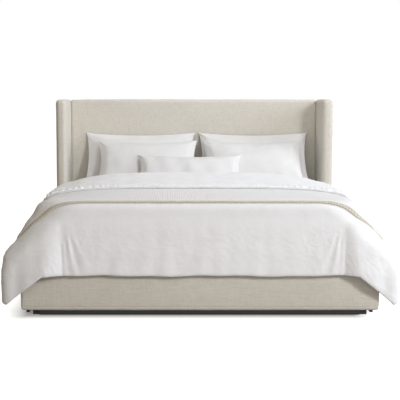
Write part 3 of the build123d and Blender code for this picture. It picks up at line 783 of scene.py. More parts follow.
@dataclass(frozen=True)
class LinenFinish(Finish):
    """Linen-look upholstery: light and dark slubs over a natural ground."""

    light: Colour = (0.78, 0.755, 0.70)
    dark: Colour = (0.44, 0.40, 0.32)
    threads: float = 520.0

    def material(self) -> Material:
        """Makes the material.

        Returns:
            The material.
        """
        made, wire, principled = self.shader()
        threads = {"Light Thread": self.light, "Dark Thread": self.dark, "Threads": self.threads}
        weave = self.group(wire, "slub_weave", {"Ground": self.colour, **threads})
        cloth = {"Sheen Weight": 0.18, "Sheen Roughness": 0.6, "Specular IOR Level": 0.25}
        wire.preset(principled, {"Base Color": weave.outputs["Color"], **cloth})
        self.bump(wire, principled, weave.outputs["Height"], 0.0012, 0.55)
        return made


@dataclass(frozen=True)
class CottonFinish(Finish):
    """Smooth cotton: soft creases in the height, and painted shade in their hollows in the colour."""

    # shade: the painted shade colour of the creases' hollows
    shade: Colour = (0.80, 0.80, 0.81)
    crease: float = 1.0
    crease_height: float = 0.0042

    def material(self) -> Material:
        """Makes the material.

        Returns:
            The material.
        """
        made, wire, principled = self.shader()
        creases = self.group(wire, "soft_crease", {"Crease": self.crease})
        # Painted shade: the colour darkens towards the shade colour where the broad folds sink.
        tone = wire.blend(wire.remap(creases.outputs["Mask"], 0.3, 0.6, 0.3, 1.0), self.shade, self.colour)
        wire.preset(principled, {"Base Color": tone, "Sheen Weight": 0.12, "Specular IOR Level": 0.2})
        self.bump(wire, principled, creases.outputs["Height"], self.crease_height, 0.6)
        return made


@dataclass(frozen=True)
class KnitFinish(Finish):
    """Knitted cloth: raised ribs, and painted shade in its sunken cells."""

    # shade: the painted shade colour of the sunken cells
    shade: Colour = (0.68, 0.66, 0.62)
    cells_across: float = 95.0
    cells_along: float = 95.0
    skew: float = 0.0

    def material(self) -> Material:
        """Makes the material.

        Returns:
            The material.
        """
        made, wire, principled = self.shader()
        cells = {"Cells Across": self.cells_across, "Cells Along": self.cells_along, "Skew": self.skew}
        knit = self.group(wire, "knit_cell", cells)
        # Painted shade: the colour darkens towards the shade colour in the middle of each sunken cell.
        tone = wire.blend(knit.outputs["Mask"], self.colour, self.shade)
        wire.preset(principled, {"Base Color": tone, "Sheen Weight": 0.2, "Specular IOR Level": 0.15})
        self.bump(wire, principled, knit.outputs["Height"], 0.003, 0.8)
        return made


@dataclass(frozen=True)
class WoodFinish(Finish):
    """Planed or stained wood, its growth lines drawn out along the piece."""

    dark: Colour = (0.52, 0.36, 0.20)
    stretch: tuple[float, float, float] = (1.0, 12.0, 12.0)

    def material(self) -> Material:
        """Makes the material.

        Returns:
            The material.
        """
        made, wire, principled = self.shader()
        grain = self.group(wire, "wood_grain", {"Stretch": self.stretch})
        tone = wire.blend(wire.times(grain.outputs["Mask"], 0.55), self.colour, self.dark)
        shine = wire.remap(grain.outputs["Mask"], 0.0, 1.0, self.roughness, self.roughness - 0.12)
        wire.preset(principled, {"Base Color": tone, "Roughness": shine, "Specular IOR Level": 0.35})
        self.bump(wire, principled, grain.outputs["Height"], 0.0008, 0.4)
        return made


@dataclass(frozen=True)
class PlatedSteelFinish(Finish):
    """Zinc-plated steel: clouded shine with fine scratches."""

    def material(self) -> Material:
        """Makes the material.

        Returns:
            The material.
        """
        made, wire, principled = self.shader()
        place = wire.node("ShaderNodeTexCoord").outputs["Object"]
        clouds = wire.noise(place, 60.0, 4.0, 0.6)
        scratches = wire.noise(wire.stretched(place, (30, 900, 900)), 1.0, 2.0)
        shine = wire.remap(clouds, 0.3, 0.7, 0.28, 0.5)
        tone = wire.blend(clouds, self.colour, (0.74, 0.75, 0.77))
        wire.preset(principled, {"Metallic": 1.0, "Roughness": shine, "Base Color": tone})
        self.bump(wire, principled, scratches, 0.0002, 0.3)
        return made


@dataclass(frozen=True)
class MouldedFinish(Finish):
    """Moulded nylon or open foam: a fine pebbled surface."""

    grain: float = 500.0
    height: float = 0.0004

    def material(self) -> Material:
        """Makes the material.

        Returns:
            The material.
        """
        made, wire, principled = self.shader()
        place = wire.node("ShaderNodeTexCoord").outputs["Object"]
        pebbles = wire.noise(place, self.grain, 3.0, 0.6)
        darker = tuple(0.8 * part for part in self.colour)
        tone = wire.blend(wire.remap(pebbles, 0.4, 0.7), self.colour, darker)
        wire.feed(principled.inputs["Base Color"], tone)
        self.bump(wire, principled, pebbles, self.height, 0.5)
        return made


LINEN = LinenFinish("natural_linen", "linen", (0.655, 0.622, 0.548), 0.9)
WHITE_COTTON = CottonFinish("white_percale", "white_cotton", (0.845, 0.853, 0.866), 0.8)
# Painted shade: the same white percale as the duvet, made darker to stand in for the dimmer light on the
# pillows.
SHADED_PILLOW_COTTON = CottonFinish(
    "pillow_percale_shaded", "white_cotton", (0.74, 0.735, 0.73), 0.8,
    shade=(0.70, 0.695, 0.69), crease_height=0.0036,
)
BEDSHEET_COTTON = CottonFinish(
    "bedsheet_percale", "white_cotton", (0.86, 0.86, 0.865), 0.8, crease_height=0.003
)
WAFFLE_KNIT = KnitFinish(
    "ivory_waffle_knit", "waffle_knit", (0.90, 0.90, 0.90), 0.95, shade=(0.82, 0.815, 0.80)
)
# Its dark sunken cells are partly the edge's own dotted pattern and partly painted shade.
EDGE_KNIT = KnitFinish(
    "beige_edge_knit", "knit_border", (0.66, 0.62, 0.53), 0.95,
    shade=(0.40, 0.355, 0.27), cells_across=60.0, cells_along=77.0, skew=0.5,
)
TICKING = KnitFinish(
    "quilted_ticking", "ticking", (0.83, 0.82, 0.80), 0.9,
    shade=(0.76, 0.75, 0.72), cells_across=380.0, cells_along=380.0,
)
TAPE = KnitFinish(
    "border_tape", "ticking", (0.70, 0.68, 0.63), 0.8,
    shade=(0.55, 0.53, 0.48), cells_across=500.0, cells_along=220.0, skew=0.5,
)
BACK_CLOTH = LinenFinish(
    "plain_back_cloth", "back_cloth", (0.58, 0.55, 0.48), 0.95,
    light=(0.64, 0.61, 0.55), dark=(0.5, 0.47, 0.4), threads=700.0,
)
WEBBING = LinenFinish(
    "strap_webbing", "webbing", (0.78, 0.77, 0.73), 0.8,
    light=(0.84, 0.83, 0.8), dark=(0.62, 0.6, 0.55), threads=900.0,
)
FOAM = MouldedFinish(
    "open_cell_foam", "upholstery_foam", (0.86, 0.84, 0.72), 0.95, grain=700.0, height=0.0008
)
SLAT_WOOD = WoodFinish("pine_across", "timber", (0.76, 0.60, 0.40), 0.62)
RAIL_WOOD = WoodFinish(
    "pine_lengthwise", "timber", (0.73, 0.57, 0.37), 0.62, stretch=(12.0, 1.0, 12.0)
)
POST_WOOD = WoodFinish(
    "pine_upright", "timber", (0.74, 0.58, 0.38), 0.62, stretch=(12.0, 12.0, 1.0)
)
BLACK_STAIN = WoodFinish(
    "black_stained_wood", "black_stain", (0.020, 0.019, 0.018), 0.55, dark=(0.010, 0.010, 0.010)
)
ZINC = PlatedSteelFinish("zinc_plate", "zinc_steel", (0.60, 0.61, 0.62), 0.4)
NYLON = MouldedFinish("black_nylon", "glide", (0.03, 0.03, 0.03), 0.5)


# The mound of bedding


@dataclass
class BeddingMound:
    """The rounded mound that the duvet makes over the mattress, and every layer on it follows.

    One level of the mound is a rounded outline: straight sides, an arc at each foot corner and a
    straight front. The profile gives for each level how far the outline stands out past the
    mattress, how far it has dropped, the slope of its outward normal, the duvet's thickness,
    the height of its folds, the radius of its corners and how far the front stands out past the
    mattress's foot, which keeps a squarer edge than the sides. A point of a layer is a point of the
    outline moved along the outward normal by the layer's offset.
    """

    half_width: float = 0.965
    foot_y: float = -0.99878
    head_y: float = 0.43822
    top: float = 0.667
    tip_z: float = 0.074
    flare: float = 0.188
    front_share: float = 0.88
    depth: float = 0.055
    fold_height: float = 0.014
    corner_radius: float = 0.140
    crown: float = 0.033
    sag: float = 0.024
    sag_x: float = 0.883
    rows: tuple[tuple[float, ...], ...] = (
        (-5.13, 0.000, 0, 1.00, 0.00, 0.02, -5.13),
        (-2.20, 0.000, 0, 1.00, 0.05, 0.60, -2.10),
        (-0.95, 0.003, 3, 0.94, 0.08, 1.30, -0.32),
        (-0.35, 0.016, 10, 0.66, 0.12, 1.65, 0.150),
        (0.02, 0.066, 38, 0.26, 0.18, 1.75, 0.360),
        (0.17, 0.160, 52, 0.24, 0.26, 1.50, 0.460),
        (0.35, 0.240, 56, 0.30, 0.36, 1.40, 0.550),
        (0.48, 0.320, 64, 0.36, 0.50, 1.25, 0.635),
        (0.66, 0.400, 62, 0.42, 0.65, 1.05, 0.720),
        (0.85, 0.480, 66, 0.46, 0.80, 0.85, 0.808),
        (0.96, 0.560, 77, 0.48, 0.92, 0.68, 0.876),
        (1.00, 0.720, 87, 0.50, 1.00, 0.50, 1.000),
        (0.97, 1.000, 91, 0.50, 1.00, 0.45, 0.970),
    )

    def __post_init__(self) -> None:
        """Measures the profile's length from row to row."""
        table = np.array(self.rows, dtype=float)
        run = np.hypot(np.diff(table[:, 0]) * self.flare, np.diff(table[:, 1]) * (self.top - self.tip_z))
        self.knots = np.concatenate([[0.0], np.cumsum(run)])
        self.table = table
        self.brow, self.shoulder, self.neck, self.hang = (float(self.knots[row]) for row in (3, 4, 5, 7))
        self.widest = float(self.knots[np.argmax(table[:, 0])])
        self.length = float(self.knots[-1])

    def levels(self, path: Array) -> dict[str, Array]:
        """The mound's sizes at distances down its profile.

        Args:
            path: Distances from the middle of the top, in metres.

        Returns:
            The half width, front, level, corner radius, slope, thickness and fold height there.
        """
        path = np.asarray(path, dtype=float)
        found = smooth_table(self.knots, self.table, np.clip(path.ravel(), 0, self.length))
        spread, drop, slope, thick, fold, corner, ahead = found.T.reshape((7,) + path.shape)
        forward = np.where(ahead > 0, self.front_share, 1.0)
        half = np.maximum(self.half_width + spread * self.flare, 0.0)
        return {
            "half": half,
            "front": self.foot_y - forward * ahead * self.flare,
            "level": self.top - drop * (self.top - self.tip_z),
            "radius": np.minimum(corner * self.corner_radius, half),
            "slope": np.radians(slope),
            "thick": thick * self.depth,
            "fold": fold * self.fold_height,
        }

    def raised(self, x: Array, y: Array) -> Array:
        """How far the bedding is plumped up in the middle of the head end and sags beside it.

        Args:
            x: Places across the bed.
            y: Places along it.

        Returns:
            Heights to add.
        """
        out = np.minimum(np.abs(x) / self.sag_x, 1.0) ** 4
        plump = self.crown * smooth_step((y + 0.30) / 0.70) * (1 - out)
        beside = self.sag * smooth_step((y + 0.90) / 0.40) * out
        return plump - beside * (1 - smooth_step((np.abs(x) - 0.90) / 0.15))

    def waves(self, y: Array) -> Array:
        """The long folds of the hanging sides: three waves down each side, uneven in length.

        Args:
            y: Places along the bed.

        Returns:
            Distances outward.
        """
        start = self.foot_y - 0.05
        share = (y - start) / (self.head_y + 0.034 - start)
        share = share + 0.035 * np.sin(2 * pi * 1.3 * share + 0.8)
        fade = smooth_step(share * 6)
        return fade * np.sin(2 * pi * 3 * share)

    def ring(self, path: Array, around: "OutlineGrid", offset: Array | float = 0.0) -> tuple[Array, Array]:
        """Points of the mound on a grid of levels by outline places.

        Args:
            path: Distance down the profile for each level, or for each point.
            around: The places along the outline.
            offset: Distance outward along the normal.

        Returns:
            The points and their outward normals.
        """
        path = np.asarray(path, dtype=float)
        if path.ndim == 1:
            path = np.repeat(path[:, None], around.count, axis=1)
        size = self.levels(path)
        x, y, out_x, out_y = around.place(size["half"], size["front"], size["radius"], self.head_y)
        normal = np.stack(
            [out_x * np.sin(size["slope"]), out_y * np.sin(size["slope"]), np.cos(size["slope"])], -1
        )
        shift = np.asarray(offset)
        points = np.stack([x, y, size["level"]], -1) + normal * shift[..., None]
        points[..., 0] += np.sign(x) * around.on_side * size["fold"] * self.waves(points[..., 1])
        points[..., 2] += self.raised(x, y)
        return points, normal

    def path_at(self, x: Array, y: Array) -> Array:
        """Distance down the profile of the outline that passes through given places.

        The distance is found by halving: a place is inside an outline when its signed distance
        to that rounded outline is negative.

        Args:
            x: Places across the bed.
            y: Places along the bed.

        Returns:
            The distances down the profile.
        """
        low = np.full(np.shape(x), 1e-4)
        high = np.full(np.shape(x), self.widest)
        for _ in range(26):
            middle = (low + high) / 2
            size = self.levels(middle)
            over_x = np.abs(x) - (size["half"] - size["radius"])
            over_y = (size["front"] + size["radius"]) - y
            distance = (
                np.hypot(np.maximum(over_x, 0), np.maximum(over_y, 0))
                + np.minimum(np.maximum(over_x, over_y), 0)
                - size["radius"]
            )
            inside = distance < 0
            high = np.where(inside, middle, high)
            low = np.where(inside, low, middle)
        return (low + high) / 2

    def over(self, reach: Array, y: Array, offset: Array | float) -> tuple[Array, Array]:
        """Points of a layer that lies straight across the bed and hangs down both sides.

        Args:
            reach: Signed distance across the cloth from the middle.
            y: Place along the bed.
            offset: Height of the layer above the duvet.

        Returns:
            The points and the outward normals.
        """
        reach, y = np.broadcast_arrays(reach, y)
        side = self.levels(np.abs(reach))
        x = side["half"]
        path = self.path_at(x, y)
        hanging = np.abs(reach) > self.hang
        path = np.where(hanging, np.maximum(path, np.abs(reach)), path)
        size = self.levels(path)
        sign = np.sign(reach)
        over_x = np.maximum(x - (size["half"] - size["radius"]), 0)
        over_y = np.maximum(size["front"] + size["radius"] - y, 0)
        flat = (over_x == 0) & (over_y == 0)
        run = np.hypot(over_x, over_y)
        run = np.where(run < 1e-9, 1.0, run)
        out_x = np.where(flat, 0.0, over_x / run) * sign
        out_y = np.where(flat, 0.0, -over_y / run)
        slope = size["slope"]
        normal = np.stack([out_x * np.sin(slope), out_y * np.sin(slope), np.cos(slope)], -1)
        normal = normal / np.maximum(np.linalg.norm(normal, axis=-1, keepdims=True), 1e-9)
        points = np.stack([sign * x, y, size["level"]], -1) + normal * np.asarray(offset)[..., None]
        hung = smooth_step((np.abs(reach) - self.shoulder) / 0.1)
        points[..., 0] += sign * size["fold"] * self.waves(y) * hung
        points[..., 2] += self.raised(x, y)
        return points, normal


@dataclass
class OutlineGrid:
    """Places along the mound's outline: head to foot, round, across the front and back up.

    Each place belongs to a side, a corner or the front, and has a share of that stretch, so the
    same place keeps its column at every level.
    """

    side_count: int = 84
    corner_count: int = 18
    front_shares: Array = field(default_factory=lambda: np.linspace(0, 1, 171))

    def __post_init__(self) -> None:
        """Lists the stretch and the share of each place."""
        side = np.linspace(0, 1, self.side_count)
        corner = np.linspace(0, 1, self.corner_count)[1:]
        front = self.front_shares[1:]
        self.stretch = np.concatenate(
            [
                np.full(self.side_count, 0),
                np.full(len(corner), 1),
                np.full(len(front), 2),
                np.full(len(corner), 3),
                np.full(self.side_count - 1, 4),
            ]
        )
        self.share = np.concatenate([side, corner, front, corner, side[1:]])
        self.count = len(self.share)
        self.on_side = ((self.stretch == 0) | (self.stretch == 4)).astype(float)[None, :]

    def place(self, half: Array, front: Array, radius: Array, head: float) -> tuple[Array, ...]:
        """Places and outward directions in plan.

        Args:
            half: Half width of the outline at each point.
            front: Its front, along the bed.
            radius: Radius of its corners.
            head: Where its sides end at the head.

        Returns:
            x, y, and the two parts of the outward direction.
        """
        share = np.broadcast_to(self.share[None, :], half.shape)
        turn = share * pi / 2
        bend = front + radius
        x = [
            -half,
            -(half - radius) - radius * np.cos(turn),
            (2 * share - 1) * (half - radius),
            (half - radius) + radius * np.sin(turn),
            half,
        ]
        y = [
            head + (bend - head) * share,
            bend - radius * np.sin(turn),
            front,
            bend - radius * np.cos(turn),
            bend + (head - bend) * share,
        ]
        out_x = [-np.ones_like(half), -np.cos(turn), np.zeros_like(half), np.sin(turn), np.ones_like(half)]
        out_y = [np.zeros_like(half), -np.sin(turn), -np.ones_like(half), -np.cos(turn), np.zeros_like(half)]
        return tuple(np.choose(self.stretch[None, :], part) for part in (x, y, out_x, out_y))


MOUND = BeddingMound()


@dataclass
class Duvet:
    """The duvet: a filled cover over the top, the foot and both sides, hanging to its hems.

    Attributes:
        hem_z: Height of the front hem.
        side_hem_z: Height of the side hems.
        hem_turn_x: Where across the bed the front hem begins to fall to its tips.
        tip_x: Where across the bed the tips are.
        tip_y: Where along the bed the tips are.
        tip_run: How far behind a tip the side hem is level again.
        rim: Width of the thinning edge.
        crease_x: Where the two corner creases lie.
        crease_lean: How far each leans on its way down.
        crease_top: Height at which they begin.
        bulge: How far the corner cones stand out.
        front_half: Half the span over which the front's columns are spread.
        fan_height: Height of the small folds beside a crease.
        side_fold_height: Height of the folds near the side hems.
        front_swell: How far the front is filled out.
        levels: Rows down the hanging part.
        flat_rows: Rows on the top whose normals are the mound's own.
    """

    hem_z: float = 0.248
    side_hem_z: float = 0.240
    hem_turn_x: float = 0.915
    tip_x: float = 1.126
    tip_y: float = -1.10178
    tip_run: float = 0.380
    rim: float = 0.016
    crease_x: tuple[float, float] = (-0.806, 0.843)
    crease_lean: tuple[float, float] = (0.020, -0.020)
    crease_top: float = 0.572
    bulge: float = 0.042
    front_half: float = 1.02
    fan_height: float = 0.0040
    side_fold_height: float = 0.0050
    front_swell: float = 0.004
    levels: int = 96
    flat_rows: int = 17
    name: str = "duvet_cover"

    def front_columns(self) -> Array:
        """Shares across the front, closest together near the two corner creases.

        Returns:
            Rising shares from 0 to 1.
        """
        even = np.linspace(0, 1, 4001)
        place = (2 * even - 1) * self.front_half
        density = 1.0 + sum(
            3.2 * bell(place - crease, 0.045) + 0.9 * bell(place - 0.92 * crease, 0.16)
            for crease in self.crease_x
        )
        run = np.concatenate([[0.0], np.cumsum((density[1:] + density[:-1]) / 2)])
        return np.interp(np.linspace(0, run[-1], 215), run, even)

    def hem_height(self, x: Array, y: Array) -> Array:
        """Height of the hem: level over the front and sides, falling to a tip at each corner.

        Args:
            x: Places across the bed.
            y: Places along it.

        Returns:
            Heights above the floor.
        """
        over = np.clip((np.abs(x) - self.hem_turn_x) / (self.tip_x - self.hem_turn_x), 0, 1.15)
        front = self.hem_z - (self.hem_z - MOUND.tip_z) * over**1.1
        behind = np.clip((y - self.tip_y) / self.tip_run, 0, 1)
        back = MOUND.tip_z + (self.side_hem_z - MOUND.tip_z) * behind**0.9
        wave = 0.0030 * np.sin(x * 9.0 + 0.6) + 0.0022 * np.sin(x * 23.0 + 1.9) + 0.0025 * np.sin(y * 17.0)
        return np.maximum(front, back) + wave

    def paths(self, around: OutlineGrid) -> Array:
        """Distance down the profile of every point of the grid.

        The last row lies on the hem: its distance is found by stepping towards the height that
        the hem has there. The rows above are spread over the top and then closely over the drop.

        Args:
            around: The places along the outline.

        Returns:
            Distances of shape (levels, places).
        """
        hem = np.full(around.count, MOUND.length)
        fine = np.linspace(MOUND.neck, MOUND.length, 400)
        heights = MOUND.levels(fine)["level"]
        for _ in range(8):
            points, _ = MOUND.ring(hem[None, :], around)
            wanted = self.hem_height(points[0, :, 0], points[0, :, 1])
            hem = np.interp(-wanted, -heights, fine)
        top = np.linspace(0, 1, 15)[:-1] ** 0.9 * MOUND.brow
        share = np.linspace(0, 1, self.levels)
        share = share + 0.10 * np.sin(2 * pi * share) / (2 * pi)
        drop = MOUND.brow + (hem[None, :] - self.rim - MOUND.brow) * share[:, None]
        rim = hem[None, :] - self.rim * np.array([0.55, 0.25, 0.08, 0.0])[:, None]
        return np.concatenate([np.repeat(top[:, None], around.count, axis=1), drop, rim])

    def corner_cone(self, weight: Array, x: Array, z: Array, crease: float, lean: float) -> Array:
        """The full cone that wraps round a foot corner, and the valley of its crease.

        Args:
            weight: How much of it there is at each point.
            x: Places across the bed.
            z: Heights.
            crease: Where the crease lies across the bed, halfway down.
            lean: How far it leans sideways on its way down.

        Returns:
            The heights above the smooth mound.
        """
        fallen = np.clip((self.crease_top - z) / (self.crease_top - self.hem_z), 0, 1.6)
        past = (x - (crease + lean * (fallen - 0.5))) * np.sign(crease)
        grown = self.bulge * np.minimum(fallen, 1.15) ** 0.9
        bank = 0.040 + 0.055 * np.minimum(fallen, 1.2)
        cone = np.sin(np.clip(past / bank, 0, 1) * pi / 2) * (1 - 0.8 * smooth_step((past - bank) / 0.20))
        valley = -0.16 * bell(np.minimum(past, 0), 0.024)
        beyond = cone + valley * np.exp(-np.maximum(past, 0) / 0.010)
        return weight * grown * np.where(past > 0, beyond, valley)

    def crease_fan(self, weight: Array, x: Array, z: Array, crease: float) -> Array:
        """Small folds that fan out over the front from above the top of a corner's crease.

        Args:
            weight: How much of them there is at each point.
            x: Places across the bed.
            z: Heights.
            crease: Where the crease lies across the bed.

        Returns:
            The heights above the smooth mound.
        """
        side = np.sign(crease)
        apex_x, apex_z = crease - side * 0.004, self.crease_top + 0.05
        below = np.maximum(apex_z - z, 0.02)
        angle = np.degrees(np.arctan2((apex_x - x) * side, below))
        reach = np.hypot(apex_x - x, below)
        fan = np.sin(2 * pi * (angle + 0.10 * angle * np.sin(7 * reach)) / (8.5 + 0.12 * angle))
        strength = self.fan_height * smooth_step((reach - 0.07) / 0.16) * bell(angle - 11, 13) * (angle > 0)
        strength = strength * smooth_step(angle / 3.0) * (1 - 0.35 * smooth_step((reach - 0.34) / 0.1))
        return weight * strength * fan

    def relief(self, points: Array) -> Array:
        """Height of the folds and creases above the smooth mound, along its normal.

        At each foot corner the duvet wraps round in a full cone, which meets the front in a
        crease that grows from nothing at its top. Small folds fan out from the crease's top over
        the front. Shallow winding creases lie over the hanging parts, and the fullness swells
        the front gently.

        Args:
            points: Points of the smooth mound.

        Returns:
            The heights, in metres.
        """
        x, y, z = points[..., 0], points[..., 1], points[..., 2]
        on_front = smooth_step((MOUND.foot_y + 0.02 - y) / 0.05)
        total = np.zeros(x.shape)
        for crease, lean in zip(self.crease_x, self.crease_lean):
            total += self.corner_cone(on_front, x, z, crease, lean)
            total += self.crease_fan(on_front, x, z, crease)
        upright = Undulation(11, 0.09, 0.26, spread=22.0, count=20)
        slanting = Undulation(23, 0.05, 0.16, heading=25.0, spread=35.0, count=26)
        tangle = Undulation(37, 0.06, 0.22, count=30)
        side_folds = Undulation(51, 0.10, 0.30, spread=20.0, count=18)
        hung = smooth_step((0.600 - z) / 0.16)
        free = smooth_step((0.470 - z) / 0.06)
        low = smooth_step((0.44 - z) / 0.2)
        total += on_front * hung * (0.0008 + 0.0014 * low) * upright.height(x, 0.35 * z)
        total += on_front * hung * 0.0015 * (slanting.creases(x, z) - 0.3) * (0.4 + 0.6 * low)
        total += hung * 0.0012 * (tangle.creases(x + 0.4 * y, z + 0.5 * y, 0.25) - 0.25)
        total += (1 - on_front) * free * self.side_fold_height * low * side_folds.height(y, 0.3 * z)
        swell = smooth_step((0.60 - z) / 0.1) * smooth_step((z - 0.25) / 0.12)
        total += on_front * self.front_swell * swell
        return total

    def build(self) -> Piece:
        """Builds the duvet as one closed shell that thins to a sewn edge all round.

        Returns:
            The duvet.
        """
        around = OutlineGrid(front_shares=self.front_columns())
        path = self.paths(around)
        smooth, mound_normal = MOUND.ring(path, around)
        normal = grid_normals(smooth)
        normal = np.where((normal * mound_normal).sum(-1, keepdims=True) < 0, -normal, normal)
        normal[: self.flat_rows] = mound_normal[: self.flat_rows]
        relief = self.relief(smooth)
        thick = MOUND.levels(path)["thick"] * 0.9
        edge = np.minimum((path[-1][None, :] - path) / self.rim, 1.0)
        end = np.minimum(np.abs(smooth[..., 1] - MOUND.head_y) / self.rim + 0.04, 1.0)
        taper = quarter_round(edge) * quarter_round(end)
        middle = smooth + normal * (relief - thick / 2)[..., None]
        outer = middle + normal * (thick / 2 * taper)[..., None]
        inner = middle - normal * (thick / 2 * taper)[..., None]
        inner[..., 2] -= MOUND.raised(smooth[..., 0], smooth[..., 1]) * taper
        outer[0, :, 0] = 0.0
        inner[0, :, 0] = 0.0
        rows, columns = path.shape
        quads = grid_quads(rows, columns)
        count = rows * columns
        rims = []
        for column, flip in ((0, True), (columns - 1, False)):
            line = np.arange(rows) * columns + column
            rim = np.stack([line[:-1], line[1:], line[1:] + count, line[:-1] + count], -1)
            rims.append(rim[:, ::-1] if flip else rim)
        hem = (rows - 1) * columns + np.arange(columns)
        rims.append(np.stack([hem[:-1], hem[1:], hem[1:] + count, hem[:-1] + count], -1))
        faces = np.concatenate([quads[:, ::-1], quads + count, *rims])
        return make_piece(self.name, both_shells(outer, inner), faces)


@dataclass
class LaidLayer:
    """A layer laid across the bed: a closed shell of even thickness between two edges.

    Attributes:
        front_y: Its edge towards the foot.
        head_y: Its edge towards the head.
        hem_z: How low it hangs at the sides.
        lift: Height of its underside above the duvet.
        thickness: Its thickness.
    """

    name: str
    front_y: float
    head_y: float
    hem_z: float
    lift: float
    thickness: float
    rim: float = 0.004
    across: int = 320
    along: int = 60

    def half_reach(self) -> float:
        """Distance across the cloth from its middle to its side hem."""
        fine = np.linspace(MOUND.brow, MOUND.length, 800)
        return float(np.interp(-self.hem_z, -MOUND.levels(fine)["level"], fine))

    def stations(self) -> Array:
        """Places along the bed of its rows, close together at both edges.

        Returns:
            Rising places along the bed.
        """
        span = self.head_y - self.front_y
        rim = self.rim * np.array([0.0, 0.1, 0.35, 0.7, 1.0])
        even = np.linspace(self.rim, span - self.rim, self.along)[1:-1]
        return self.front_y + np.concatenate([rim, even, span - rim[::-1]])

    def reaches(self) -> Array:
        """Signed distances across the cloth of its columns, close together at both hems.

        Returns:
            Rising distances from the middle line.
        """
        half = self.half_reach()
        rim = self.rim * np.array([0.0, 0.1, 0.35, 0.7, 1.0])
        inner = np.linspace(self.rim, half, self.across // 2)
        out = np.unique(np.concatenate([half - rim, half - inner]))
        return np.concatenate([-out[::-1], out[out > 1e-9]])

    def relief(self, reach: Array, y: Array) -> Array:
        """Unevenness of the outer face."""
        return np.zeros(np.broadcast(reach, y).shape)

    def build(self) -> Piece:
        """Builds the layer as a closed shell with rounded edges, and keeps its cloth map.

        Returns:
            The layer.
        """
        reach, y = np.meshgrid(self.reaches(), self.stations())
        half = self.half_reach()
        edge = np.minimum((half - np.abs(reach)) / self.rim, 1.0)
        end = np.minimum(np.minimum(y - self.front_y, self.head_y - y) / self.rim, 1.0)
        taper = quarter_round(edge) * quarter_round(end)
        middle = self.lift + self.thickness / 2
        relief = self.relief(reach, y)
        outer, _ = MOUND.over(reach, y, middle + self.thickness / 2 * taper + relief)
        inner, _ = MOUND.over(reach, y, middle - self.thickness / 2 * taper + 0.3 * np.minimum(relief, 0))
        cloth = np.stack([reach, y], -1)
        faces = shell_faces(*reach.shape)
        return make_piece(self.name, both_shells(outer, inner), faces, both_shells(cloth, cloth))

    def flat(self) -> tuple[float, float]:
        """Flat width and length of the cloth."""
        return 2 * self.half_reach(), self.head_y - self.front_y


@dataclass
class FoldedEnd(LaidLayer):
    """The duvet's head end turned back over the coverlet, puckered along its sewn edge."""

    pucker_depth: float = 0.0040
    seam_at: float = 0.017
    seam_depth: float = 0.0022

    def relief(self, reach: Array, y: Array) -> Array:
        """Puckers that run in from the front edge, strongest at both sides, and soft fullness.

        Args:
            reach: Distances across the cloth.
            y: Places along the bed.

        Returns:
            Heights to add to the outer face.
        """
        from_edge = y - self.front_y
        wander = 0.006 * np.sin(31 * reach) + 0.004 * np.sin(73 * reach + 1.2)
        ripple = np.sin(2 * pi * (reach + wander) / 0.043)
        small = np.sin(2 * pi * (reach + 0.4 * from_edge) / 0.027 + 2.0)
        strength = 0.35 + 0.65 * smooth_step((np.abs(reach) - 0.45) / 0.35)
        pucker = strength * bell(from_edge - 0.022, 0.036) * (ripple + 0.45 * small)
        seam = -bell(from_edge - self.seam_at, SEAM_WIDTH)
        soft = Undulation(61, 0.10, 0.42).height(reach, y)
        fade = smooth_step(from_edge / 0.05) * smooth_step((self.head_y - y) / 0.05)
        creases = Undulation(67, 0.07, 0.24, heading=70.0, spread=50.0).creases(reach, y, 0.25)
        stitched = self.pucker_depth * pucker + self.seam_depth * seam
        return stitched + fade * (0.0022 * soft + 0.0014 * (creases - 0.25))


@dataclass
class FoldRoll:
    """The rounded bend where the duvet turns back on itself at the head end.

    Its section is half an ellipse that runs from the top of the turned-back layer round to the
    underside of the duvet, carried across the bed and down both sides as far as the layer hangs.
    """

    name: str
    start_y: float
    reach_y: float
    top: float
    bottom: float
    wall: float = 0.010

    def build(self, layer: LaidLayer) -> Piece:
        """Builds the bend as a closed shell.

        Args:
            layer: The turned-back layer that it ends.

        Returns:
            The bend.
        """
        reach = layer.reaches()
        turn = np.radians(np.linspace(90, -90, 25))[:, None]
        middle, half = (self.top + self.bottom) / 2, (self.top - self.bottom) / 2
        pinch = np.minimum((layer.half_reach() - np.abs(reach)) / 0.03, 1.0)
        pinch = 0.35 + 0.65 * quarter_round(pinch)
        shells = []
        for taken_in in (0.0, self.wall):
            y = self.start_y + (self.reach_y - taken_in) * np.cos(turn) * np.ones_like(reach)[None, :]
            lift = middle + (half - taken_in) * np.sin(turn) * pinch[None, :]
            ripple = 0.0018 * np.sin(23 * reach)[None, :] * np.cos(turn)
            points, _ = MOUND.over(np.broadcast_to(reach[None, :], lift.shape), y + ripple, lift)
            points[..., 2] -= MOUND.raised(points[..., 0], points[..., 1]) * (0.5 - 0.5 * np.sin(turn))
            shells.append(points)
        return make_piece(self.name, both_shells(*shells), shell_faces(*shells[0].shape[:2]))


# Pillows


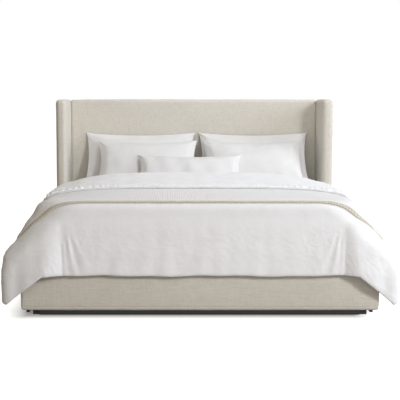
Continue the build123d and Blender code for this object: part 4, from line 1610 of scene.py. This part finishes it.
@dataclass
class Pillow:
    """A pillow in its case: crowned, with drawn-in sides, pointed corners and a sewn edge.

    Two shares run from -1 to 1 across and up the case. Its outline draws in between the
    corners by a parabola; its thickness is an arc from edge to edge, thinned towards both ends
    by the table of end shares.
    """

    name: str
    middle_y: float
    middle_z: float
    x: float
    width: float
    height: float = 0.470
    thickness: float = 0.132
    lean: float = 60.0
    draw_in: float = 0.026
    floor_z: float = 0.612
    seed: int = 1
    across: int = 121
    up: int = 73
    swell: float = 0.009

    def shares(self, count: int) -> Array:
        """Shares from -1 to 1, closer together at both ends."""
        even = np.linspace(-1, 1, count)
        return np.sin(even * pi / 2) * 0.55 + even * 0.45

    def surface(self) -> tuple[Array, Array]:
        """Works out the front and the back of the case.

        Returns:
            The points and the quads.
        """
        s, t = np.meshgrid(self.shares(self.across), self.shares(self.up))
        half_width = self.width / 2 - self.draw_in * (1 - t**2) * np.abs(s) ** 3
        half_height = self.height / 2 - self.draw_in * (1 - s**2) * np.abs(t)
        ends = smooth_table(
            np.array([0.0, 0.42, 0.78, 0.94, 1.0]),
            np.array([[1.0], [0.92], [0.60], [0.25], [0.0]]),
            np.abs(s).ravel(),
        ).reshape(s.shape)
        crown = self.thickness / 2 * ends * (1 - np.abs(t) ** 2.1) ** 0.85
        lean = radians(self.lean)
        up = np.array([0.0, np.cos(lean), np.sin(lean)])
        fore = np.array([0.0, -np.sin(lean), np.cos(lean)])
        soft = Undulation(self.seed, 0.12, 0.4).height(s * half_width, t * half_height)
        corner = (np.abs(s) * np.abs(t)) ** 2.5
        toward = np.arctan2((1.04 - np.abs(t)) * self.height, (1.04 - np.abs(s)) * self.width)
        creases = np.sin(toward * 11 + self.seed + 1.3 * np.sign(s * t))
        faces = []
        for face in (1, -1):
            relief = face * crown
            cover = smooth_step((1 - np.abs(t)) / 0.10) * smooth_step((1 - np.abs(s)) / 0.05)
            relief = relief + face * cover * (0.0026 * soft + 0.0045 * corner * creases)
            place = (
                np.array([self.x, self.middle_y, self.middle_z])
                + (s * half_width)[..., None] * np.array([1.0, 0.0, 0.0])
                + (t * half_height)[..., None] * up
                + relief[..., None] * fore
            )
            faces.append(place)
        rows, columns = s.shape
        quads = grid_quads(rows, columns)
        points = np.concatenate([place.reshape(-1, 3) for place in faces])
        return points, np.concatenate([quads, quads[:, ::-1] + rows * columns])

    def settle(self, points: Array) -> Array:
        """Flattens the lower edge where it rests: heights bend smoothly up to the floor.

        Args:
            points: Points of the swollen case.

        Returns:
            The settled points.
        """
        above = points[:, 2] - self.floor_z - 0.001
        settled = points.copy()
        settled[:, 2] = self.floor_z + 0.001 + 0.5 * (above + np.sqrt(above**2 + 0.014**2))
        return settled

    def build(self) -> Piece:
        """Builds the case, swells it with air by a cloth simulation and settles it.

        Returns:
            The pillow.
        """
        points, quads = self.surface()
        piece = make_piece(self.name, points, quads)
        count = len(piece.data.vertices)
        start = np.empty(count * 3)
        piece.data.vertices.foreach_get("co", start)
        start = start.reshape(-1, 3)
        moved = start
        moved = inflate(piece, start, self.swell)
        piece.data.vertices.foreach_set("co", self.settle(moved).ravel())
        piece.data.update()
        return piece


def inflate(piece: Piece, start: Array, limit: float) -> Array:
    """Blows a closed cover up as cloth and lets it wrinkle, within a limit.

    Args:
        piece: The cover.
        start: Its points.
        limit: The furthest that a point may move, in metres.

    Returns:
        The moved points.
    """
    modifier = piece.modifiers.new("air", "CLOTH")
    settings = modifier.settings
    settings.quality = 6
    settings.mass = 0.25
    settings.tension_stiffness = 25
    settings.compression_stiffness = 25
    settings.shear_stiffness = 8
    settings.bending_stiffness = 0.25
    settings.use_pressure = True
    settings.uniform_pressure_force = 4.0
    settings.effector_weights.gravity = 0.0
    scene = bpy.context.scene
    for step in range(1, 21):
        scene.frame_set(step)
    grown = piece.evaluated_get(bpy.context.evaluated_depsgraph_get())
    found = np.empty(len(start) * 3)
    grown.data.vertices.foreach_get("co", found)
    piece.modifiers.remove(modifier)
    scene.frame_set(1)
    move = found.reshape(-1, 3) - start
    size = np.linalg.norm(move, axis=1, keepdims=True)
    return start + move * np.where(size > limit, limit / np.maximum(size, 1e-9), 1.0)


# Upholstery, mattress and bare parts


def dress(piece: Piece, finish: Finish, body: str, *nodes: str) -> Piece:
    """Gives a new piece its finish, its body and the nodes that it stands for.

    Args:
        piece: The new piece.
        finish: Its finish.
        body: The body that it rides on.
        nodes: The nodes that it replaces.

    Returns:
        The same piece.
    """
    piece.data.materials.clear()
    piece.data.materials.append(material_of(finish))
    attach(piece, body)
    if nodes:
        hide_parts(*nodes)
    log.info("%s: %d faces, on %s", piece.name, len(piece.data.polygons), body)
    return piece


def material_of(finish: Finish) -> Material:
    """The finish's material, made once."""
    found = bpy.data.materials.get(finish.name)
    return found if found is not None else finish.material()


@dataclass
class UpholsteredFrame:
    """The fabric-covered outside: the foot rail, two side rails, two wings and the headboard."""

    rail_half: float = 1.049
    inner_half: float = 0.978
    wing_half: float = 1.053
    foot_y: float = -1.10178
    deck_y: float = -1.01178
    wing_y: float = 0.70822
    panel_y: float = 1.07822
    back_y: float = 1.17822
    floor_gap: float = 0.033
    rail_top: float = 0.355
    pad_bottom: float = 0.300
    top: float = 1.261
    fabric_return: float = 0.036
    rail_radius: float = 0.014
    panel_radius: float = 0.020
    wing_radius: float = 0.028
    seam_depth: float = 0.0016
    low_seam: float = 0.018
    wing_seam: float = 0.030

    def build(self) -> None:
        """Builds and dresses the covers."""
        self.foot_rail()
        for side in Side:
            self.side_rail(side)
            self.wing(side)
        self.panel()

    def foot_rail(self) -> None:
        """The foot rail's cover, open at the back over its board."""
        edge = self.fabric_return
        window = Window(
            1, 1,
            (-self.rail_half + edge, self.deck_y, self.floor_gap + edge),
            (self.rail_half - edge, self.deck_y, self.rail_top - edge),
        )
        block = UpholsteredBlock(
            (-self.rail_half, self.foot_y, self.floor_gap),
            (self.rail_half, self.deck_y, self.rail_top),
            self.rail_radius,
            crown=0.0025,
            seams=(Seam(2, self.floor_gap + self.low_seam, self.seam_depth),),
            windows=(window,),
            seed=3,
        )
        piece = dress(block.piece("foot_rail_fabric"), LINEN, "frame", "foot_rail_cover")

    def side_rail(self, side: Side) -> None:
        """A side rail's cover: its rounded section carried from the foot rail to the wing.

        Args:
            side: Which rail.
        """
        inner, outer = self.inner_half, self.rail_half
        edge = self.fabric_return
        low_edge, high_edge = self.floor_gap + edge, self.rail_top - edge
        lines_z = crossing_lines(self.floor_gap, self.rail_top, self.rail_radius, 0.02, (low_edge, high_edge))
        lines_x = crossing_lines(inner, outer, self.rail_radius, 0.02, ())
        low, high = np.array([inner, self.floor_gap]), np.array([outer, self.rail_top])
        inner_face = np.stack([np.full(len(lines_z), inner), lines_z[::-1]], -1)
        below = len(lines_z) - 1 - np.searchsorted(lines_z, low_edge)
        above = len(lines_z) - np.searchsorted(lines_z, high_edge)
        loop = np.concatenate(
            [
                inner_face[below:],
                np.stack([lines_x, np.full(len(lines_x), self.floor_gap)], -1)[1:],
                np.stack([np.full(len(lines_z), outer), lines_z], -1)[1:],
                np.stack([lines_x[::-1], np.full(len(lines_x), self.rail_top)], -1)[1:],
                inner_face[1:above],
            ]
        )
        core = np.clip(loop, low + self.rail_radius, high - self.rail_radius)
        outward = loop - core
        outward = outward / np.linalg.norm(outward, axis=1, keepdims=True)
        y = np.linspace(self.deck_y, self.wing_y, 90)
        share = 2 * (loop[:, 1] - self.floor_gap) / (self.rail_top - self.floor_gap) - 1
        on_outside = loop[:, 0] > outer - 1e-6
        bulge = 0.0022 * (1 - share**4) * on_outside
        ripple = Undulation(int(5 + side), 0.15, 0.5).height(y[:, None], loop[None, :, 1])
        ends = smooth_step((y - self.deck_y) / 0.05) * smooth_step((self.wing_y - y) / 0.05)
        lift = self.rail_radius + bulge[None, :] * ends[:, None] + 0.0006 * ripple * (bulge > 0)[None, :]
        seam = bell(loop[:, 1] - self.floor_gap - self.low_seam, SEAM_WIDTH) * on_outside
        lift = lift - self.seam_depth * seam[None, :]
        section = core[None] + outward[None] * lift[..., None]
        along = np.broadcast_to(y[:, None], lift.shape)
        points = np.stack([side * section[..., 0], along, section[..., 1]], -1)
        quads = grid_quads(len(y), len(loop))
        if side is Side.RIGHT:
            quads = quads[:, ::-1]
        piece = make_piece(f"{side.word}_rail_fabric", points, quads)
        dress(piece, LINEN, "frame", f"{side.word}_rail_cover")

    def wing(self, side: Side) -> None:
        """A wing's cover, with seams where the front strip meets the inner and outer faces.

        Args:
            side: Which wing.
        """
        ends = sorted((side * self.inner_half, side * self.wing_half))
        block = UpholsteredBlock(
            (ends[0], self.wing_y, self.floor_gap),
            (ends[1], self.back_y, self.top),
            self.wing_radius,
            crown=0.0012,
            step=0.024,
            seams=(
                Seam(1, self.wing_y + self.wing_seam, self.seam_depth),
                Seam(1, self.back_y - self.wing_seam, self.seam_depth),
            ),
            seed=7 + int(side),
        )
        piece = dress(block.piece(f"{side.word}_wing_fabric"), LINEN, "frame", f"{side.word}_wing_cover")

    def panel(self) -> None:
        """The headboard's padded face, wrapped to the back, with the cloth over its frame."""
        frame_half = self.inner_half - self.panel_radius
        low_z, high_z = self.pad_bottom + self.fabric_return, self.top - self.panel_radius
        window = Window(1, 1, (-frame_half, self.back_y, low_z), (frame_half, self.back_y, high_z))
        block = UpholsteredBlock(
            (-self.inner_half, self.panel_y, self.pad_bottom),
            (self.inner_half, self.back_y, self.top),
            self.panel_radius,
            crown=0.0028,
            step=0.03,
            windows=(window,),
            seed=9,
        )
        piece = dress(block.piece("headboard_fabric"), LINEN, "frame", "headboard_cover")
        self.back_cloth(frame_half, low_z, high_z)

    def back_cloth(self, frame_half: float, low_z: float, high_z: float) -> None:
        """The cloth on the back: pulled flat, turned under and scalloped a little between staples.

        Args:
            frame_half: Half the frame's width.
            low_z: The cloth's lower edge.
            high_z: Its upper edge.
        """
        x, z = np.meshgrid(np.linspace(-frame_half, frame_half, 120), np.linspace(low_z, high_z, 60))
        to_edge = np.minimum(frame_half - np.abs(x), np.minimum(z - low_z, high_z - z))
        hem = 0.0012 * (1 - smooth_step((to_edge - 0.014) / 0.004))
        pull = 0.0006 * np.sin(2 * pi * (x + z) / 0.07) * np.exp(-to_edge / 0.02)
        y = self.back_y - 0.0012 + 0.6 * hem + pull * smooth_step(to_edge / 0.01)
        front = np.stack([x, np.full_like(x, self.back_y - 0.0019), z], -1)
        back = np.stack([x, y, z], -1)
        piece = make_piece("back_cloth_panel", both_shells(back, front), shell_faces(*x.shape)[:, ::-1])
        dress(piece, BACK_CLOTH, "frame", "headboard_back_cloth")


@dataclass
class RoundedLoop:
    """A rounded rectangle in plan, and profiles carried round it."""

    half_x: float
    half_y: float
    middle_y: float
    radius: float

    def carry(self, insets: Array, heights: Array, corner: int = 10, side: int = 60) -> tuple[Array, Array]:
        """Carries a profile round the loop.

        Args:
            insets: Distance in from the loop of each point of the profile.
            heights: Height of each point of the profile.
            corner: Points round each corner.
            side: Points along each side.

        Returns:
            A closed grid of points (profile by loop, the first column repeated), and the place
            of each point as distance round the loop.
        """
        half_x = np.maximum(self.half_x - insets[:, None], 0.0)
        half_y = np.maximum(self.half_y - insets[:, None], 0.0)
        radius = np.minimum(np.maximum(self.radius - insets[:, None], 0.002), half_x)
        xs, ys = [], []
        corners = ((1, 1), (-1, 1), (-1, -1), (1, -1))
        for turn, (sign_x, sign_y) in enumerate(corners):
            start = turn * pi / 2
            following_x, following_y = corners[(turn + 1) % 4]
            angle = np.linspace(start, start + pi / 2, corner)[None, :]
            arc_x = sign_x * (half_x - radius) + radius * np.cos(angle)
            arc_y = sign_y * (half_y - radius) + radius * np.sin(angle)
            next_x = following_x * (half_x - radius) + radius * np.cos(start + pi / 2)
            next_y = following_y * (half_y - radius) + radius * np.sin(start + pi / 2)
            run = np.linspace(0, 1, side)[None, 1:-1]
            xs += [arc_x, arc_x[:, -1:] + (next_x - arc_x[:, -1:]) * run]
            ys += [arc_y, arc_y[:, -1:] + (next_y - arc_y[:, -1:]) * run]
        x, y = np.concatenate(xs, axis=1), np.concatenate(ys, axis=1)
        x, y = np.concatenate([x, x[:, :1]], axis=1), np.concatenate([y, y[:, :1]], axis=1)
        z = np.broadcast_to(heights[:, None], x.shape)
        outermost = np.argmin(insets)
        run = np.hypot(np.diff(x[outermost]), np.diff(y[outermost]))
        around = np.broadcast_to(np.concatenate([[0.0], np.cumsum(run)])[None, :], x.shape)
        return np.stack([x, y + self.middle_y, z], -1), around


def cloth_map(around: Array, heights: Array) -> Array:
    """Places on the flat cloth of a loop's grid: distance round the loop, and height."""
    return np.stack([around, np.broadcast_to(heights[:, None], around.shape)], -1)


@dataclass
class Mattress:
    """The mattress in its ticking, with its two border tapes, and the fitted sheet over it."""

    half_width: float = 0.965
    half_length: float = 1.016
    middle_y: float = 0.01722
    base: float = 0.280
    height: float = 0.330
    corner_radius: float = 0.060
    edge_radius: float = 0.020
    tape_from_edge: float = 0.026
    tape_height: float = 0.009
    sheet_hem: float = 0.060
    sheet_thickness: float = 0.0011
    crown: float = 0.042
    crown_width: float = 0.200
    plain_border: float = 0.036
    quilt_size: float = 0.15
    quilt_depth: float = 0.0026

    def profile(self, low: float, out: float, top_out: float) -> tuple[Array, Array]:
        """Inset and height from the middle of the base, up the border to the middle of the top.

        Args:
            low: Lowest height; the base is left open above the mattress's own base.
            out: How far the border stands out.
            top_out: How far the top stands up.

        Returns:
            The insets and the heights.
        """
        turn = np.radians(np.linspace(0, 90, 9))
        top = self.base + self.height + top_out
        radius = self.edge_radius + top_out
        insets = [radius * (1 - np.cos(turn)) - out]
        heights = [top - radius + radius * np.sin(turn)]
        wall = np.linspace(low if low > self.base + 0.001 else self.base + radius, top - radius, 40)[:-1]
        insets.insert(0, np.full(len(wall), -out))
        heights.insert(0, wall)
        if low <= self.base + 0.001:
            insets.insert(0, radius * (1 - np.cos(turn[::-1])) - out)
            heights.insert(0, self.base + radius - radius * np.sin(turn[::-1]))
            insets.insert(0, np.array([1.1, 0.95, 0.6, 0.3, 0.1]))
            heights.insert(0, np.full(5, self.base))
        flat = np.array([0.04, 0.07, 0.1, 0.15, 0.2, 0.35, 0.5, 0.65, 0.8, 0.95, 1.1])
        insets.append(flat)
        heights.append(np.full(len(flat), top))
        inset, height = np.concatenate(insets), np.concatenate(heights)
        away = np.clip(1 - np.maximum(inset, 0) / self.crown_width, 0, 1)
        settled = self.crown * (1 - np.sqrt(1 - away**2 * 0.96)) / 0.8
        return inset, height - settled * smooth_step((height - self.base - 0.1) / (self.height - 0.1))

    def build(self) -> None:
        """Builds and dresses the mattress, its tapes and its sheet."""
        loop = RoundedLoop(self.half_width, self.half_length, self.middle_y, self.corner_radius)
        insets, heights = self.profile(self.base, 0.0, 0.0)
        points, around = loop.carry(insets, heights, side=110)
        above, under = heights - self.base, self.base + self.height - self.plain_border - heights
        border = smooth_step((above - self.plain_border) / 0.02) * smooth_step(under / 0.02)
        across, up = around / self.quilt_size, heights[:, None] / self.quilt_size
        quilt = np.abs(np.sin(pi * (across + up))) * np.abs(np.sin(pi * (across - up)))
        outward = self.outward(points)
        points = points - outward * (self.quilt_depth * border[:, None] * (1 - np.sqrt(quilt)))[..., None]
        piece = make_piece("mattress_quilted", points, grid_quads(*around.shape), cloth_map(around, heights))
        dress(piece, TICKING, "mattress", "mattress_ticking", "mattress_core")
        self.tapes(loop)
        self.fitted_sheet(loop)

    def outward(self, points: Array) -> Array:
        """Level directions from the mattress's middle to points on it.

        Args:
            points: The points.

        Returns:
            Unit directions.
        """
        away = points - np.array([0.0, self.middle_y, 0.0])
        away[..., 2] = 0
        return away / np.maximum(np.linalg.norm(away, axis=-1, keepdims=True), 1e-9)

    def tapes(self, loop: RoundedLoop) -> None:
        """The two rolled border tapes, each a half-round section carried round the border.

        Args:
            loop: The mattress's outline.
        """
        parts, cloths, faces, count = [], [], [], 0
        turn = np.radians(np.linspace(-90, 90, 11))
        upper = self.base + self.height - self.tape_from_edge - self.tape_height
        for low in (self.base + self.tape_from_edge, upper):
            insets = np.concatenate([[0.0005], -0.0040 * np.cos(turn), [0.0005]])
            heights = low + self.tape_height / 2 * (1 + np.concatenate([[-1.0], np.sin(turn), [1.0]]))
            points, around = loop.carry(insets, heights, side=80)
            parts.append(points.reshape(-1, 3))
            cloths.append(cloth_map(around, heights).reshape(-1, 2))
            faces.append(grid_quads(*around.shape) + count)
            count += around.size
        points, quads, cloth = (np.concatenate(lists) for lists in (parts, faces, cloths))
        piece = make_piece("mattress_border_tapes", points, quads, cloth)
        dress(piece, TAPE, "mattress", "mattress_tapes")

    def fitted_sheet(self, loop: RoundedLoop) -> None:
        """The sheet stretched over the top and sides, gathered along its elastic hem.

        Args:
            loop: The mattress's outline.
        """
        hem = self.base + self.sheet_hem
        insets, heights = self.profile(hem, 0.0052, 0.0012)
        outer, around = loop.carry(insets, heights, side=150)
        outward = self.outward(outer)
        above = heights[:, None] - hem
        gather = 0.0016 * np.sin(2 * pi * around / 0.036 + 1.5 * np.sin(around * 7)) * np.exp(-above / 0.035)
        on_border = insets[:, None] < 0
        creases = Undulation(71, 0.05, 0.2, heading=90.0, spread=40.0).creases(around, above)
        drag = 0.0012 * creases * smooth_step(above / 0.05) * on_border
        outer = outer + outward * (gather + drag)[..., None]
        down = np.array([0.0, 0.0, self.sheet_thickness])
        inner = outer - np.where(on_border[..., None], outward * self.sheet_thickness, down)
        rows, columns = around.shape
        quads = grid_quads(rows, columns)
        count = rows * columns
        this, following = np.arange(columns - 1), np.arange(1, columns)
        hem_rim = np.stack([following, this, this + count, following + count], -1)
        faces = np.concatenate([quads, quads[:, ::-1] + count, hem_rim])
        cloth = cloth_map(around, heights)
        piece = make_piece("fitted_sheet_cotton", both_shells(outer, inner), faces, both_shells(cloth, cloth))
        dress(piece, BEDSHEET_COTTON, "mattress", "fitted_sheet")


@dataclass
class BareParts:
    """The parts of the frame that keep their own shape and get a finish."""

    finishes: tuple[tuple[Finish, tuple[str, ...]], ...] = (
        (SLAT_WOOD, ("foot_rail_board", "headboard_top_rail", "headboard_bottom_rail")),
        (SLAT_WOOD, ("headboard_face_board", "slats")),
        (RAIL_WOOD, ("left_rail_board", "right_rail_board", "left_cleat", "right_cleat", "centre_beam")),
        (POST_WOOD, ("left_wing_board", "right_wing_board", "headboard_posts")),
        (POST_WOOD, ("centre_leg_1", "centre_leg_2", "centre_leg_3")),
        (WEBBING, ("slat_straps",)),
        (BLACK_STAIN, ("corner_feet", "front_plinth", "left_plinth", "right_plinth")),
        (ZINC, ("beam_hangers", "corner_angles", "bracket_screws")),
        (ZINC, ("cleat_screws", "rail_studs", "leg_inserts")),
        (NYLON, ("levelling_glide_1", "levelling_glide_2", "levelling_glide_3")),
        (FOAM, ("foot_rail_foam", "left_rail_foam", "right_rail_foam")),
        (FOAM, ("left_wing_foam", "right_wing_foam", "headboard_foam")),
    )

    def build(self) -> None:
        """Puts each finish on its nodes."""
        for finish, nodes in self.finishes:
            for node in nodes:
                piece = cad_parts[node]
                piece.data.materials.clear()
                piece.data.materials.append(material_of(finish))
                log.info("%s: %s", node, finish.name)


@dataclass
class Bedding:
    """The duvet, the coverlet with its knitted edge and the duvet's turned-back end."""

    coverlet_front: float = -1.02978
    border_back: float = -1.00378
    coverlet_head: float = 0.40422
    coverlet_hem: float = 0.450
    turnback_front: float = -0.30678
    turnback_head: float = 0.418
    turnback_hem: float = 0.490

    def build(self) -> None:
        """Builds and dresses the bedding."""
        duvet = dress(Duvet().build(), WHITE_COTTON, "bedding", "duvet")
        coverlet = LaidLayer(
            "coverlet_knit",
            front_y=self.border_back,
            head_y=self.coverlet_head,
            hem_z=self.coverlet_hem,
            lift=0.0006,
            thickness=0.0078,
            across=300,
            along=70,
        )
        cover = dress(coverlet.build(), WAFFLE_KNIT, "bedding", "coverlet")
        border = LaidLayer(
            "coverlet_knit_edge",
            front_y=self.coverlet_front,
            head_y=self.border_back,
            hem_z=self.coverlet_hem,
            lift=0.0004,
            thickness=0.0086,
            across=300,
            along=8,
        )
        edge = dress(border.build(), EDGE_KNIT, "bedding", "coverlet_border")
        coverlet.flat()
        turned = FoldedEnd(
            "duvet_turned_end",
            front_y=self.turnback_front,
            head_y=self.turnback_head,
            hem_z=self.turnback_hem,
            lift=0.0090,
            thickness=0.0235,
            rim=0.011,
            across=560,
            along=110,
        )
        layer = dress(turned.build(), WHITE_COTTON, "bedding", "duvet_turnback")
        start = self.turnback_head - 0.012
        roll = FoldRoll("duvet_fold_roll", start, reach_y=0.036, top=0.0325, bottom=-0.046)
        bend = dress(roll.build(turned), WHITE_COTTON, "bedding")


@dataclass
class PillowRows:
    """Two rows of sleeping pillows that lean on the headboard, and the lumbar pillow in front."""

    back: tuple[float, float] = (0.9603, 0.8035)
    front: tuple[float, float] = (0.7818, 0.7746)
    lumbar: tuple[float, float] = (0.6010, 0.7264)

    def build(self) -> None:
        """Builds and dresses the five pillows."""
        for side, x, seed in ((Side.LEFT, -0.423, 4), (Side.RIGHT, 0.471, 8)):
            pillow = Pillow(f"{side.word}_back_pillow", *self.back, x, 0.880, lean=60.0, seed=seed)
            self.place(pillow, "back_pillows", "back_pillow_fillings")
        for side, x, seed in ((Side.LEFT, -0.361, 12), (Side.RIGHT, 0.456, 16)):
            pillow = Pillow(f"{side.word}_front_pillow", *self.front, x, 0.790, lean=48.0, seed=seed)
            self.place(pillow, "front_pillows", "front_pillow_fillings")
        pillow = Pillow(
            "lumbar_pillow", *self.lumbar, -0.036, 0.810, height=0.330, thickness=0.108, lean=50.0, seed=20
        )
        self.place(pillow, "lumbar_pillow", "lumbar_filling")

    def place(self, pillow: Pillow, body: str, filling: str) -> None:
        """Builds a pillow, which stands for its case and its filling."""
        piece = dress(pillow.build(), SHADED_PILLOW_COTTON, body, f"{pillow.name}case", filling)


# The studio


@dataclass(frozen=True)
class Lamp:
    """A square soft lamp: where it hangs, what it faces, its sides' length, power and colour."""

    name: str
    place: Place
    aim: Place
    size: float
    power: float
    colour: Colour

    def hang(self) -> None:
        """Hangs the lamp."""
        data = bpy.data.lights.new(self.name, "AREA")
        data.shape = "SQUARE"
        data.size = self.size
        data.energy = self.power
        data.color = self.colour
        piece = bpy.data.objects.new(self.name, data)
        piece.location = self.place
        piece.rotation_euler = (Vector(self.aim) - Vector(self.place)).to_track_quat("-Z", "Y").to_euler()
        bpy.context.scene.collection.objects.link(piece)


@dataclass
class Studio:
    """A white floor and background, soft lamps, and the camera where the photograph's stood.

    Attributes:
        pitch: How far the camera looks down, in degrees.
        lens: Focal length, in millimetres.
        shift: How far the lens is shifted across.
        shade_right: Where the floor's painted shade begins on the right of the bed's middle.
        shade_left: The same on the left.
        shade_ahead: The same before and behind it.
        shade_reach: How far the shade reaches from there.
        shade_depth: How much of the floor's own light it takes away where it is deepest.
        shade_power: How fast it fades.
    """

    camera_place: Place = (-0.143, -6.708, 1.261)
    pitch: float = 5.886
    lens: float = 87.57
    shift: float = 0.061
    shade_right: float = 0.90
    shade_left: float = 1.02
    shade_ahead: float = 1.10
    shade_reach: float = 0.17
    shade_depth: float = 0.78
    shade_power: float = 1.7
    ground: Colour = (0.55, 0.54, 0.52)
    sky: Colour = (0.17, 0.125, 0.07)
    lamps: tuple[Lamp, ...] = (
        Lamp("key_softbox", (3.5, -6.5, 3.0), (0.0, 0.2, 0.5), 1.1, 225.0, (0.94, 0.955, 1.0)),
        Lamp("right_softbox", (5.0, -0.8, 2.4), (0.0, -0.2, 0.4), 2.6, 150.0, (0.85, 0.91, 1.0)),
        Lamp("ceiling_softbox", (0.3, 0.0, 3.6), (0.0, 0.0, 0.0), 2.4, 50.0, (0.88, 0.93, 1.0)),
        Lamp("front_softbox", (-0.8, -7.0, 3.6), (0.0, 0.0, 0.4), 3.0, 60.0, (1.0, 1.0, 1.0)),
    )

    def build(self) -> None:
        """Sets the floor, the world, the lamps and the camera."""
        scene = bpy.context.scene
        scene.view_settings.view_transform = "Standard"
        self.floor()
        self.world(scene)
        for lamp in self.lamps:
            lamp.hang()
        data = bpy.data.cameras.new("photo_view")
        data.lens = self.lens
        data.sensor_width = 36.0
        data.shift_x = self.shift
        data.clip_end = 200.0
        camera = bpy.data.objects.new("photo_view", data)
        camera.location = self.camera_place
        camera.rotation_euler = (radians(90.0 - self.pitch), 0.0, 0.0)
        scene.collection.objects.link(camera)
        scene.camera = camera

    def floor(self) -> None:
        """A wide white floor that keeps the bed's real soft shadow, with a painted shadow near the bed where
        the glow seen directly is dimmed.
        """
        x, y = np.meshgrid(np.linspace(-60, 60, 3), np.linspace(-30, 120, 3))
        points = np.stack([x, y, np.zeros_like(x)], -1)
        piece = make_piece("studio_floor", points, grid_quads(3, 3))
        made = bpy.data.materials.new("white_floor")
        made.use_nodes = True
        wire = Wiring(made.node_tree)
        principled = made.node_tree.nodes["Principled BSDF"]
        wire.preset(principled, {"Base Color": self.ground, "Roughness": 1.0, "Specular IOR Level": 0.0})
        seen = seen_directly(wire)
        wire.feed(principled.inputs["Emission Color"], (1.0, 1.0, 1.0))
        split = wire.node("ShaderNodeSeparateXYZ")
        wire.feed(split.inputs[0], wire.node("ShaderNodeTexCoord").outputs["Object"])
        x, y = split.outputs[0], split.outputs[1]
        # Painted shadow: near the bed the glow that the camera sees is dimmed, most at the bed's edge, fading
        # out over shade_reach.
        right = wire.minus(x, self.shade_right)
        left = wire.minus(wire.times(x, -1.0), self.shade_left)
        beside = wire.math("MAXIMUM", wire.math("MAXIMUM", right, left), 0.0)
        ahead = wire.minus(wire.math("ABSOLUTE", y), self.shade_ahead)
        before = wire.math("MAXIMUM", ahead, 0.0)
        squares = wire.times(beside, beside), wire.times(before, before)
        away = wire.math("SQRT", wire.plus(*squares))
        near = wire.remap(away, 0.0, self.shade_reach, 1.0, 0.0)
        shade = wire.math("POWER", near, self.shade_power)
        glow = wire.minus(1.0, wire.times(shade, self.shade_depth))
        wire.feed(principled.inputs["Emission Strength"], wire.times(seen, glow))
        piece.data.materials.append(made)

    def world(self, scene: bpy.types.Scene) -> None:
        """A plain world: soft light for the bed, and white where it is seen.

        Args:
            scene: The scene that gets it.
        """
        world = bpy.data.worlds.new("white_room")
        scene.world = world
        world.use_nodes = True
        wire = Wiring(world.node_tree)
        background = world.node_tree.nodes["Background"]
        seen = seen_directly(wire)
        wire.feed(background.inputs["Color"], wire.blend(seen, self.sky, (1.0, 1.0, 1.0)))


def main() -> None:
    """Builds the bed piece by piece and sets the studio."""
    logging.basicConfig(level=logging.INFO, format="%(name)s %(message)s")
    for build_group in (slub_weave_group, soft_crease_group, wood_grain_group, knit_cell_group):
        build_group()
    Studio().build()
    BareParts().build()
    UpholsteredFrame().build()
    Mattress().build()
    Bedding().build()
    PillowRows().build()


if __name__ == "__main__":
    main()
